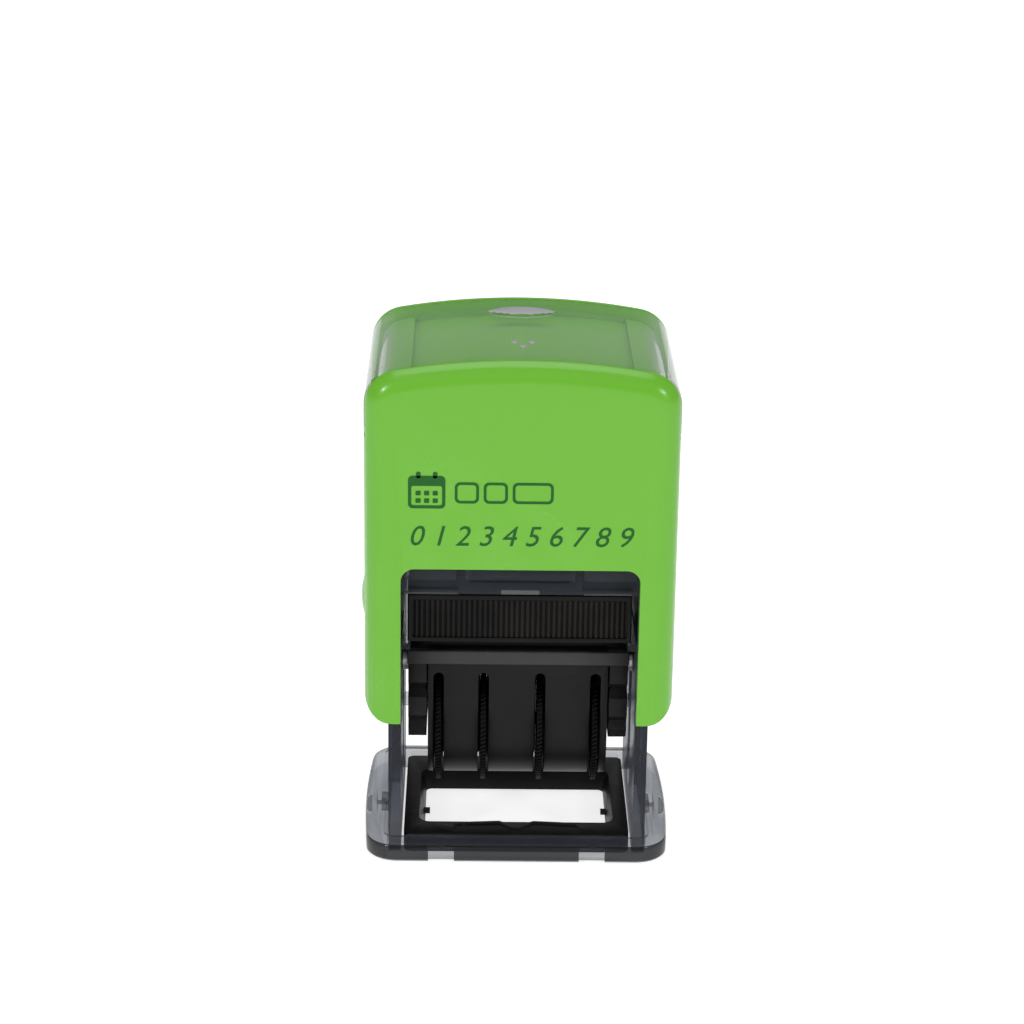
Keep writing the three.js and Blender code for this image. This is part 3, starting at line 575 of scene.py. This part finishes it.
def housing_form():
    """The filled form: an arched block with a soft front edge, a crisp back edge and round legs."""
    def edge(radius, steps):
        turns = [PI / 2 * k / steps for k in range(steps + 1)]
        return [(radius * (1 - math.sin(a)), radius * (1 - math.cos(a))) for a in turns]

    rings = [(inset, FRONT + depth) for inset, depth in edge(EDGE_R, 8)]
    rings += [(inset, BACK - depth) for inset, depth in reversed(edge(REAR_EDGE_R, 4))]
    low, deep = LEG_END - 5, LEG_END - 10
    form = loft("housing", [
        [(x, y, z) for x, z in arch(inset)] + [(inset - HALF_W, y, low), (HALF_W - inset, y, low)]
        for inset, y in rings])
    side, shoulder = HALF_W + 0.01, LEG_END + LEG_CORNER_R + 2
    middle = side - LEG_CORNER_R, LEG_END + LEG_CORNER_R
    under = [(-30, deep), (30, deep), (30, shoulder), (side, shoulder)]
    under += arc(*middle, LEG_CORNER_R, 0, -1, 8)
    under += arc(-middle[0], middle[1], LEG_CORNER_R, -1, -2, 8)
    under += [(-side, shoulder), (-30, shoulder)]
    return carve(form, prism("Y", under, *THROUGH))


def outer_housing():
    wall, inner_x, upper_x, shoulder_z, roof = 1.3, 15.8, 14.7, 47, 53.6
    pocket_x, pocket_depth, button_bore, boss_r, pin_bore = 12.0, 0.5, 2.65, 2.6, 1.6
    inner_y = FRONT + wall, BACK - wall
    cover_y = COVER_LOW.y - GAP, COVER_HIGH.y + GAP
    cover_space = COVER_T + GAP
    body = carve(
        housing_form(),
        prism("Z", rounded(-inner_x, inner_x, *inner_y, 0.8), 0, shoulder_z),
        prism("Z", rounded(-upper_x, upper_x, *inner_y, 0.8), 0, roof),
    )
    body = carve(
        body,
        prism("Y", rounded(-WINDOW_X, WINDOW_X, 0, WINDOW_TOP, 0, 1.5), *THROUGH),
        prism("Y", arch_band(-1, cover_space, COVER_LOW.z - GAP), *cover_y),
    )
    under = [p for p in arch(cover_space + pocket_depth) if abs(p[0]) < pocket_x]
    pocket = [(pocket_x, under[0][1] - 0.02), *under, (-pocket_x, under[-1][1] - 0.02),
              (-pocket_x, 60), (pocket_x, 60)]
    body = carve(body, prism("Y", pocket, *cover_y), rod("X", button_bore, -20, 20, (0, BUTTON_Z)))
    ribs = [rib for y in (-8.5, 6.8) for rib in mirrored(14.6, 15.95, y, y + 1.2, 20, 47.1)]
    bosses = [rod("X", boss_r, *ends, PIVOT) for ends in ((-15.95, -14.65), (14.65, 15.95))]
    spring_seat = rod("Z", 4.2, roof - 2, roof + 0.5, (0, 0))
    body = fuse(body, *ribs, *bosses, spring_seat)
    pin_holes = [rod("X", pin_bore, *ends, PIVOT) for ends in ((-16.4, -14.4), (14.4, 16.4))]
    body = carve(body, *pin_holes)
    place(soften(body, 0.28, 3), "housing_shell", GREEN, "housing", "green_shell", "outer_housing")


def index_cover():
    """The clear arched cover, with a fingertip scoop and three small dots in its top."""
    y0, y1, count = COVER_LOW.y, COVER_HIGH.y, 28
    stations = [(0.2, y0), (0.06, y0 + 0.06)]
    stations += [(0, y0 + 0.2 + (y1 - y0 - 0.4) * i / count) for i in range(count + 1)]
    stations += [(0.06, y1 - 0.06), (0.2, y1)]
    shell = loft("cover", [[(x, y, z) for x, z in arch_band(inset, COVER_T, COVER_LOW.z)]
                           for inset, y in stations])
    scoop = ellipsoid((0, SCOOP_Y, TOP + 0.15), (4.1, 2.2, 0.7))
    dots = [ellipsoid((x, y, TOP + 0.04), (0.36, 0.6, 0.34))
            for x, y in ((-0.95, -4.6), (0, -6.2), (0.95, -4.6))]
    cover = place(carve(shell, scoop, *dots), "clear_cover", CLEAR, "cover", "clear_cover",
                  "index_cover", 18)
    # the wall of the scoop and of the dots that faces the front gets a paler, less clear copy of
    # the plastic: a painted highlight
    cover.data.materials.append(SCOOP_HIGHLIGHT)
    for face in cover.data.polygons:
        x, y, z = face.center / MM
        dished = abs(x) < 4.3 and z > TOP - 0.6 and (abs(y - SCOOP_Y) < 2.4 or -7 < y < -3.8)
        face.material_index = int(dished and face.normal.y < -0.13 and face.normal.z > 0.3)


def ellipsoid(centre, radii):
    b = bmesh.new()
    bmesh.ops.create_uvsphere(b, u_segments=32, v_segments=16, radius=1)
    mesh = bpy.data.meshes.new("tool")
    b.to_mesh(mesh)
    b.free()
    mesh.transform(Matrix.Translation(centre) @ Matrix.Diagonal((*radii, 1)))
    return link("tool", mesh)


def lock_button(side, name):
    """A round button turned about X: a collar inside the shell and a slightly domed face."""
    low, high = span("lock_button_" + name)
    root, tip = sorted((abs(low.x), abs(high.x)))
    collar_r, stem_r, rim, steps = 3.2, 2.5, 2.3, 48
    profile = [(root, 1.2), (root, collar_r), (root + 0.5, collar_r), (root + 0.5, stem_r),
               (tip - 0.62, stem_r), (tip - 0.45, 2.42)]
    profile += [(tip - 0.36 * (a / 8) ** 2, rim * a / 8 + 0.02) for a in range(8, -1, -1)]
    turns = [2 * PI * i / steps for i in range(steps)]
    button = loft("button", [[(side * x, r * math.cos(a), BUTTON_Z + r * math.sin(a))
                              for a in turns] for x, r in profile])
    place(soften(button, 0), "lock_button_" + name + "_cap", GREEN, name + "_button",
          "green_shell", "lock_button_" + name, 50)


def front_print():
    """A generic print in dark ink: a calendar sign, a date field and a line of numerals."""
    depths = proud, sunk = FRONT - 0.03, FRONT + 0.1
    beyond = proud - 1, sunk + 1
    x0, x1, z0, z1 = -12.2, -8.2, 41.9, 45.6
    border, head, ring_w, day_w, day_h = 0.35, 1.15, 0.5, 0.56, 0.52
    sheet = carve(
        prism("Y", rounded(x0, x1, z0, z1, 0.5), *depths, "calendar"),
        prism("Y", rounded(x0 + border, x1 - border, z0 + border, z1 - head, 0.25), *beyond))
    marks = [prism("Y", rounded(x - ring_w / 2, x + ring_w / 2, z1 - 0.3, z1 + 0.45, 0.24), *depths)
             for x in (x0 + 1.1, x1 - 1.1)]
    for row in range(2):
        for column in range(3):
            x, z = x0 + 0.8 + column * 0.92, z0 + 0.62 + row * 0.86
            marks.append(prism("Y", rounded(x, x + day_w, z, z + day_h, 0.1), *depths))
    line, low, high = 0.3, 42.5, 44.9
    field = [carve(prism("Y", rounded(a, b, low, high, 0.6), *depths),
                   prism("Y", rounded(a + line, b - line, low + line, high - line, 0.35), *beyond))
             for a, b in ((-7.2, -4.6), (-4.1, -1.5), (-1.0, 3.4))]
    numerals = []
    for i in range(10):
        mesh = text_mesh(str(i), 2.3 * 1.42, sunk - proud, 3, shear=0.25)
        spot = Matrix.Translation((-11.4 + i * 2.5, (proud + sunk) / 2, 38.65))
        mesh.transform(spot @ Matrix.Rotation(PI / 2, 4, "X"))
        numerals.append(link("numeral", mesh))
    print_ink = join_loose(sheet, *marks, *field, *numerals)
    place(print_ink, "front_print", INK, "housing", "green_shell")


def text_mesh(text, size, depth, resolution, shear=0.0, spacing=1.0):
    """A short text as a thin closed form, centred on the origin and lying in the XY plane."""
    curve = bpy.data.curves.new("numeral", "FONT")
    curve.body, curve.align_x, curve.align_y = text, "CENTER", "CENTER"
    curve.size, curve.extrude, curve.resolution_u = size, depth / 2, resolution
    curve.shear, curve.space_character = shear, spacing
    made = link("numeral", curve)
    mesh = evaluated_mesh(made)
    bpy.data.objects.remove(made)
    return mesh


def join_loose(first, *others):
    """Separate small forms become one piece."""
    b = bmesh.new()
    for piece in (first, *others):
        b.from_mesh(piece.data)
    bmesh.ops.remove_doubles(b, verts=b.verts, dist=1e-4)
    b.to_mesh(first.data)
    b.free()
    for piece in others:
        bpy.data.objects.remove(piece)
    return first


# ---- inner frame and foot
def inner_frame():
    inner, outer, half, top = 13.0, 14.4, 11.3, 37.5
    low, high, wall = 31.4, 36.5, 1.1  # the spring tray
    slot_r, post_r, spring_seat_r = 1.7, 0.8, 4.2
    slot = rounded(PIVOT[0] - slot_r, PIVOT[0] + slot_r, FACE_H - slot_r, PIVOT[1] + slot_r,
                   slot_r - 0.001)
    post_at = (PIVOT[0] + 4, PIVOT[1] - STROKE / 2)
    posts = []
    body = None
    for side in (-1, 1):
        ends = sorted((side * inner, side * outer))
        arm = prism("X", rounded(-half, half, 0.3, top, 0, 1.5), *ends, "frame")
        arm = carve(arm, prism("X", slot, -20, 20))
        posts.append(rod("X", post_r, *sorted((side * 11.2, side * 13.5)), post_at))
        body = fuse(body, arm) if body else arm
    ledges = mirrored(12, 13.5, -10.6, 9.8, 24.5, 25.4)
    hooks = mirrored(13.9, 15.5, -1.9, 0.9, 0.7, 1.8)
    notches = mirrored(13.9, 15.4, -3.4, 3.4, BUTTON_Z - 7.4, BUTTON_Z - 3.6)
    front = 0.03 - half  # the tray's front lies just inside the arms' front faces
    tray = carve(
        block(-13.5, 13.5, front, -front, low, high, "tray"),
        prism("Z", rounded(-13, 13, -half + wall, half - wall, 0.6), low + 1.2, high + 1),
    )
    body = fuse(body, tray, *ledges, *hooks, *posts)
    ribs = mirrored(6.0, 7.0, -half + 0.5, half - 0.5, low + 0.5, high - 1)
    body = fuse(body, *ribs, rod("Z", spring_seat_r, low + 0.5, low + 3.2, (0, 0), 48))
    window_y = front - 1, front + 0.4
    windows = mirrored(6.7, 12.5, *window_y, low + 0.55, high - 0.6)
    windows.append(block(-5.4, 5.4, *window_y, low + 1.4, high - 0.6))
    body = carve(body, *notches, *windows)
    frame_piece = place(soften(body, 0.18), "inner_frame_clear", SMOKE, "stand", "smoke_plastic",
                        "inner_frame", 35)
    # the narrow front and back faces of the arms get a darker, less clear copy of the plastic:
    # painted shade
    frame_piece.data.materials.append(SMOKE_RIM_SHADE)
    for face in frame_piece.data.polygons:
        x, y, z = (abs(v) / MM for v in face.center)
        narrow = x > inner - 0.1 and y > half - 0.4 and z < low
        face.material_index = int(narrow and abs(face.normal.y) > 0.5)
    tabs = [prism("Y", rounded(x0, x1, z0, z1, 0.12), front - 0.03, front + 0.3)
            for x0, x1, z0, z1 in ((-2.1, 2.1, low + 0.02, low + 0.5),
                                   (-12.7, -6.8, low - 0.02, low + 0.16),
                                   (6.9, 12.3, low - 0.02, low + 0.16))]
    place(join_loose(*tabs), "frame_front_tabs", FRAME_TAB, "stand", "smoke_plastic")


FOOT_HALF_W = 17.3


def foot_outline(half_y, inset, steps=10):
    """Top view of the foot: round corners and sides that bow outwards a little."""
    x, y, r, bow = FOOT_HALF_W - inset, half_y - inset, 3.6 - inset, 0.35
    cx, cy = x - bow - r, y - r
    side = [(bow * (1 - (2 * i / steps - 1) ** 2), (2 * i / steps - 1) * (y - r))
            for i in range(1, steps)]
    points = arc(cx, -cy, r, -1, 0, steps) + [(x - bow + b, s) for b, s in side]
    points += arc(cx, cy, r, 0, 1, steps)
    return points + [(-px, -py) for px, py in points]


def foot_frame():
    half_y, top, through, panel_x = span("foot_frame")[1].y, 2.2, (-1, 4), (7, 9.9)
    levels = [(0.25, 0), (0.0, 0.25), (0.0, top - 0.55), (0.16, top - 0.2), (0.5, top)]
    body = loft("foot", [[(x, y, z) for x, y in foot_outline(half_y, inset)]
                         for inset, z in levels])
    face_y = half_y - 0.08  # the two clear panels in the front edge lie a little behind it
    arm_slots = mirrored(12.35, 14.55, -11.45, 11.45, *through)
    hook_windows = mirrored(14.4, 16, -2.2, 1.2, *through)
    insert_opening = block(-12.85, 12.85, -10.95, 10.05, *through)
    hollows = mirrored(*panel_x, -15, -12.8, -1, 1.5)
    beyond, notch = FOOT_HALF_W + 0.4, FOOT_HALF_W - 0.7
    side_marks = [prism("Z", [(side * beyond, -1.4), (side * notch, -0.8), (side * beyond, -0.2)],
                        *through) for side in (-1, 1)]
    bead = carve(prism("Z", rounded(-15.4, 15.4, -12.2, 12, 1.6), 1.7, 2.45, "bead"),
                 prism("Z", rounded(-14.9, 14.9, -11.7, 11.6, 1.1), 0, 4))
    panels = mirrored(*panel_x, -half_y - 1, -face_y, *through)
    marks = [prism("Y", [(x - 0.55, top), (x, top - 0.75), (x + 0.55, top)],
                   -half_y + 0.01, -face_y + 0.05) for x in (-8.45, 8.45)]
    body = carve(fuse(body, bead), *arm_slots, *hook_windows, insert_opening, *hollows,
                 *side_marks, *panels)
    foot = place(soften(fuse(body, *marks), 0.14), "foot_clear", SMOKE, "stand", "smoke_plastic",
                 "foot_frame", 35)
    # the rim along the front and the front corners, apart from the two panels, gets a darker, less
    # clear copy of the plastic: painted shade
    foot.data.materials.append(SMOKE_EDGE_SHADE)
    for face in foot.data.polygons:
        x, y = abs(face.center.x) / MM, abs(face.center.y) / MM
        corner = x > 13.3 and y > 9.8 and math.hypot(x - 13.35, y - 9.9) > 3.1
        panel = panel_x[0] < x < panel_x[1] and y < face_y + 0.01
        edge = corner or x > 16.2 or y > half_y - 0.5
        face.material_index = int(edge and not panel and face.center.y < -2 * MM
                                  and abs(face.normal.z) < 0.5)


def base_insert():
    low, high = span("base_insert")
    top, flare, middle_y, half_x, half_y = 2.3, 0.65, PIVOT[0], 10.4, 6.4
    body = prism("Z", rounded(low.x, high.x, low.y, high.y, 0.8), 0, top, "insert")
    hole = [rounded(-half_x - d, half_x + d, middle_y - half_y - d, middle_y + half_y + d, 0.7 + d)
            for d in (0, flare)]
    funnel = loft("tool", [[(x, y, z) for x, y in ring]
                           for ring, z in zip(hole, (-0.01, top + 0.01))])
    teeth = mirrored(9.9, 11.4, middle_y - 0.35, middle_y + 0.35, 0.02, 0.5)
    wave = [(-7.2, 0), (7.2, 0), (7.0, 0.6), (6.6, 0.8), (4, 0.92), (1.9, 1.0), (1.2, 0.72),
            (0.5, 0.38), (0, 0.3)]
    wave += [(-x, z) for x, z in wave[-2:1:-1]]
    lip = prism("Y", [(x, top - 0.1 + z) for x, z in wave], low.y + 0.2, low.y + 1.4)
    body = fuse(carve(body, funnel), lip, *teeth)
    place(soften(body, 0.16), "print_window_insert", BLACK, "stand", "black_plastic",
          "base_insert")


def return_spring():
    low, high = span("return_spring")
    wire_r, height = 0.4, high.z - low.z
    coil = grow("spring", COIL, STEEL, Turns=7.0, Coil_Radius=5.1, Wire_Radius=wire_r,
                Seat=low.z + wire_r, Rise=height - 2 * wire_r)
    place(coil, "return_spring_coil", STEEL, "stand", "spring_steel", "return_spring", 60)
    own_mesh(coil)


# ---- ink cartridge
def ink_cartridge():
    low, high = span("ink_cartridge")
    pad_low, pad_high = span("ink_pad")
    front = low.y
    body = prism("Z", rounded(low.x, high.x, front + 0.6, high.y, 0.7), low.z, high.z, "cartridge")
    face = prism("Z", rounded(low.x, high.x, front, front + 1.5, 0.2), low.z + 0.1, high.z - 0.1)
    grip_field = prism("Y", rounded(-11.8, 11.8, 26.15, 30.6, 0.25), front - 1, front + 0.38)
    pocket = prism("Z", rounded(pad_low.x - GAP, pad_high.x + GAP, pad_low.y - GAP,
                                pad_high.y + GAP, 0.5), low.z - 1, pad_high.z + GAP)
    body = carve(fuse(body, face), grip_field, pocket)
    place(soften(body, 0.14), "cartridge_case", GRIP, "cartridge", "black_plastic",
          "ink_cartridge")
    ribs = grow("ribs", RIB_ROW, GRIP, Count=40, Pitch=0.58, Rib_Radius=0.24, Rib_Length=4.3,
                Front=front + 0.30, Middle_Height=28.38)
    place(ribs, "cartridge_grip_ribs", GRIP, "cartridge", "black_plastic")


def ink_pad():
    """A felt block, soft at its edges and slightly hollowed where the print face rests."""
    low, high = span("ink_pad")
    middle, half = (low + high) / 2, (high - low) / 2
    nx, ny, rise, hollow, margin = 48, 28, 0.12, 0.1, 0.28
    pad = loft("pad", [
        [(x, y, level) for x, y in rounded(low.x + inset, high.x - inset, low.y + inset,
                                           high.y - inset, 0.9)]
        for level, inset in ((high.z, 0.25), (high.z - 0.3, 0.0), (low.z + 0.5, 0.0),
                             (low.z + rise, 0.2))])
    felt = []
    for i in range(nx + 1):
        for j in range(ny + 1):
            u, v = 2 * i / nx - 1, 2 * j / ny - 1
            sag = hollow * (1 - u ** 8) * (1 - v ** 6)
            felt.append((middle.x + u * (half.x - margin), middle.y + v * (half.y - margin),
                         low.z + rise - sag))
    corners = [(i * (ny + 1) + j, (i + 1) * (ny + 1) + j) for i in range(nx) for j in range(ny)]
    faces = [[a, a + 1, b + 1, b] for a, b in corners]
    back = [[len(felt) + k for k in reversed(face)] for face in faces]
    slab = mesh_piece("tool", felt + [(x, y, low.z + 0.6) for x, y, _ in felt],
                      faces + back + slab_sides(nx, ny))
    pad = place(soften(fuse(pad, slab), 0), "ink_pad_felt", FELT, "cartridge", "ink_felt",
                "ink_pad", 60)


def slab_sides(nx, ny):
    """The faces that close a grid and its copy."""
    total = (nx + 1) * (ny + 1)
    rim = [i * (ny + 1) for i in range(nx + 1)] + [nx * (ny + 1) + j for j in range(1, ny + 1)]
    rim += [i * (ny + 1) + ny for i in range(nx - 1, -1, -1)] + list(range(ny - 1, 0, -1))
    return [[a, b, b + total, a + total] for a, b in zip(rim, rim[1:] + rim[:1])]


# ---- dater
def in_dater(points):
    """Points given from the pivot, in the frame's own place."""
    return [(PIVOT[0] + y, PIVOT[1] + z) for y, z in points]


def cover_line(inset, top):
    """Side view of the band cover: straight walls on an oval bottom."""
    half, drop = 5.7 - inset, 6.2 - inset
    oval = [(half * math.cos(a), WHEEL_H + drop * math.sin(a))
            for a in (PI + PI * i / 40 for i in range(41))]
    return in_dater([(half, top), (-half, top)] + oval)


def band_cover():
    low, high = span("band_cover")
    slot_x, slot_top = 0.6, PIVOT[1] + 0.4
    shell = carve(prism("X", cover_line(0, 2.0), low.x, high.x, "shell"),
                  prism("X", cover_line(0.8, 3.0), low.x - 1, high.x + 1))
    shell = carve(shell, *[
        prism("Y", rounded(disc - slot_x, disc + slot_x, 0, slot_top, 0, slot_x - 0.001), -20, 20)
        for disc in DISCS])
    place(soften(shell, 0.14), "band_cover_shell", BLACK, "dater", "black_plastic", "band_cover")


def finger_wheel(name, disc, band, web_x):
    """A thin disc with a slanted grip round its rim, on the hub that drives its band."""
    r, bore, hub_r, web_r, piece_name = 7.0, 0.75, 3.1, 4.58, name + "_finger_wheel"
    rim = [(-0.22, r - 0.42), (-0.3, r - 0.5), (-0.3, r - 1.4), (-0.2, r - 1.6)]
    wheel = ring_about_axle("wheel", [
        (disc - 0.2, bore), *[(disc + x, y) for x, y in reversed(rim)],
        *[(disc - x, y) for x, y in rim], (disc + 0.2, bore)])
    hub_x = (disc, band[1]) if disc < band[0] else (band[0], disc)
    collars = [ring_about_axle("tool", [(ends[0], bore), (ends[0], radius), (ends[1], radius),
                                        (ends[1], bore)])
               for ends, radius in ((hub_x, hub_r), (web_x, web_r))]
    place(soften(fuse(wheel, *collars), 0.05, 1), piece_name, WHEEL_SHADED, piece_name, "black_plastic",
          name + "_wheel")
    grip = grow(name + "_grip", TOOTHED_RIM, WHEEL_SHADED, Count=88, Radius=r - 0.2, Tooth_Width=0.6,
                Tooth_Thickness=0.24, Tooth_Height=0.36, Slant=0.5, Centre=(disc, *AXLE))
    place(grip, name + "_wheel_grip", WHEEL_SHADED, piece_name, "black_plastic")


def ring_about_axle(name, profile, steps=96):
    """A closed ring about the axle. The profile is (x, radius) and closes on itself."""
    points, faces = [], []
    count = len(profile)
    for i in range(steps):
        a = 2 * PI * i / steps
        points += [(x, AXLE[0] + r * math.cos(a), AXLE[1] + r * math.sin(a)) for x, r in profile]
    for i in range(steps):
        for j in range(count):
            k, m = (i + 1) % steps, (j + 1) % count
            faces.append([i * count + j, i * count + m, k * count + m, k * count + j])
    return mesh_piece(name, points, faces)


def belt(circles, steps=40):
    """The tightest belt round a set of circles (y, z, r)."""
    points = sorted((y + r * math.cos(2 * PI * i / steps), z + r * math.sin(2 * PI * i / steps))
                    for y, z, r in circles for i in range(steps))

    def turns_in(a, b, c):
        return (b[0] - a[0]) * (c[1] - a[1]) - (b[1] - a[1]) * (c[0] - a[0]) <= 1e-9

    def half(run):
        chain = []
        for p in run:
            while len(chain) > 1 and turns_in(*chain[-2:], p):
                chain.pop()
            chain.append(p)
        return chain[:-1]

    return half(points) + half(points[::-1])


BELT_T, NUMERAL_T = 0.78, 1.06  # from the belt's inner side
BAND_WORDS = {
    "day_tens": list("012301230123"),
    "day_units": list("012345678901"),
    "month": ["%02d" % i for i in range(1, 13)],
    "year": ["%02d" % i for i in range(24, 36)],
}


def date_band(name, band):
    """The rubber belt with its raised, mirrored numerals."""
    def around(by):
        return [(0, WHEEL_H, 3.2 + by), (0.7, 3.35, 1.24 + by), (-0.7, 3.35, 1.24 + by)]

    loop = carve(prism("X", in_dater(belt(around(BELT_T))), *band, "band"),
                 prism("X", in_dater(belt(around(0))), band[0] - 1, band[1] + 1))
    stations = even_stations(belt(around(BELT_T), 96), len(BAND_WORDS[name]))
    raised = [belt_numeral(word, sum(band) / 2, *station, NUMERAL_T - BELT_T)
              for word, station in zip(BAND_WORDS[name], stations)]
    place(soften(loop, 0.08, 1), name + "_belt", RUBBER, "dater", "band_rubber", name + "_band")
    place(join_loose(*raised), name + "_numerals", RUBBER, "dater", "band_rubber")


def even_stations(line, count):
    """Even steps round a closed line, the first at its top: (y, z, outward y, outward z)."""
    lengths = [math.dist(line[i], line[(i + 1) % len(line)]) for i in range(len(line))]
    total = sum(lengths)
    top = max(range(len(line)), key=lambda i: (round(line[i][1], 3), line[i][0]))
    origin = sum(lengths[:top]) + abs(line[top][0])
    found = []
    for k in range(count):
        distance = (origin + total * k / count) % total
        i = 0
        while distance > lengths[i]:
            distance -= lengths[i]
            i += 1
        a, b = line[i], line[(i + 1) % len(line)]
        dy, dz = (b[0] - a[0]) / lengths[i], (b[1] - a[1]) / lengths[i]
        found.append((a[0] + dy * distance, a[1] + dz * distance, dz, -dy))
    return found


def belt_numeral(word, x, y, z, out_y, out_z, rise):
    """A raised numeral on the belt, mirrored so that it prints the right way round."""
    sunk = 0.05
    mesh = text_mesh(word, 3.1, rise + 2 * sunk, 2, spacing=1.05)
    out, across = Vector((0, out_y, out_z)), Vector((-1, 0, 0))
    seat = Vector((x, PIVOT[0] + y, PIVOT[1] + z)) + out * (rise / 2 - sunk)
    axes = Matrix((across, across.cross(out), out)).transposed().to_4x4()
    mesh.transform(Matrix.Translation(seat) @ axes)
    mesh.flip_normals()
    return link("numeral", mesh)


def partition():
    """The comb under the platen bar that keeps the finger discs apart."""
    low, notch_top, top = (PIVOT[1] + h for h in (-2.93, -0.48, 2.7))
    comb = block(-9.45, 9.45, PIVOT[0] - 1.2, PIVOT[0] + 1.2, low, top, "comb")
    comb = carve(comb, *[block(disc - 0.34, disc + 0.34, -5, 5, low - 1, notch_top)
                         for disc in DISCS])
    place(soften(comb, 0.06, 1), "wheel_partition", BLACK, "dater", "black_plastic")


def carriage_rails():
    """The bars along the front and back edges of the carriage."""
    for side, name in ((-1, "front"), (1, "rear")):
        y0, y1 = sorted((PIVOT[0] + side * 5.45, PIVOT[0] + side * 6.25))
        bar = prism("X", rounded(y0, y1, PIVOT[1] + 1.55, PIVOT[1] + 3.3, 0.25), -12.4, 12.4,
                    "rail")
        place(soften(bar, 0.2), "carriage_rail_" + name, CARRIAGE_LIT, "dater", "black_plastic")


def dressed_nodes():
    """CAD nodes whose shape is right, with their edges rounded."""
    for node, name, material, body, slot, width in (
        ("date_carriage", "carriage_block", CARRIAGE_LIT, "dater", "black_plastic", 0.15),
        ("platen_bar", "platen_bar_block", BLACK, "dater", "black_plastic", 0.1),
        ("flip_cam_left", "flip_cam_left_plate", BLACK, "dater", "black_plastic", 0.12),
        ("flip_cam_right", "flip_cam_right_plate", BLACK, "dater", "black_plastic", 0.12),
        ("wheel_axle", "wheel_axle_rod", STEEL, "dater", "spring_steel", 0.1),
        ("pivot_pin_left", "pivot_pin_left_rod", STEEL, "housing", "spring_steel", 0.2),
        ("pivot_pin_right", "pivot_pin_right_rod", STEEL, "housing", "spring_steel", 0.2),
    ):
        place(dressed_copy(node, width), name, material, body, slot, node)


# ---- floor and light
def studio():
    """A pale floor, soft light from the front and top, and two small lamps for the highlights."""
    reach, below = 1.5, 0.00002
    floor = mesh_piece("floor", [(-reach, -reach, 0), (reach, -reach, 0), (reach, reach, 0),
                                 (-reach, reach, 0)], [[0, 1, 2, 3]])
    floor.data.transform(Matrix.Translation((0, 0, -below)))
    floor.data.materials.append(moulded(
        "pale_floor", (0.70, 0.70, 0.70), (0.7, 0.7, 0.7), 0.8, wear=0, scratches=0, smears=0.02,
        bump=0.02, Specular_IOR_Level=0.1, Emission_Color=(1, 1, 1, 1), Emission_Strength=0.68))
    world = bpy.data.worlds.new("studio")
    world.use_nodes = True
    background = world.node_tree.nodes["Background"].inputs
    background["Color"].default_value = (1, 1, 1, 1)
    background["Strength"].default_value = 0.35
    bpy.context.scene.world = world
    aim = Vector((0, 0, 0.03))
    for name, spot, size, power in (
        ("front_softbox", (-0.15, -0.65, 0.70), 0.80, 0.70),
        ("left_lamp", (-0.37, -0.40, 0.27), 0.07, 0.72),
        ("right_lamp", (0.38, -0.40, 0.27), 0.07, 0.72),
        ("top_softbox", (0.0, 0.10, 0.90), 0.60, 2.8),
    ):
        data = bpy.data.lights.new(name, "AREA")
        data.size = size
        data.energy = power
        lamp = link(name, data)
        lamp.location = spot
        lamp.rotation_euler = (aim - Vector(spot)).to_track_quat("-Z", "Y").to_euler()
    bpy.context.scene.view_settings.view_transform = "Standard"


aim_camera()
outer_housing()
index_cover()
lock_button(-1, "left")
lock_button(1, "right")
front_print()
inner_frame()
foot_frame()
base_insert()
return_spring()
ink_cartridge()
ink_pad()
band_cover()
for wheel, (disc, ends, web_ends) in WHEELS.items():
    finger_wheel(wheel, disc, ends, web_ends)
    date_band(wheel, ends)
partition()
carriage_rails()
dressed_nodes()
studio()
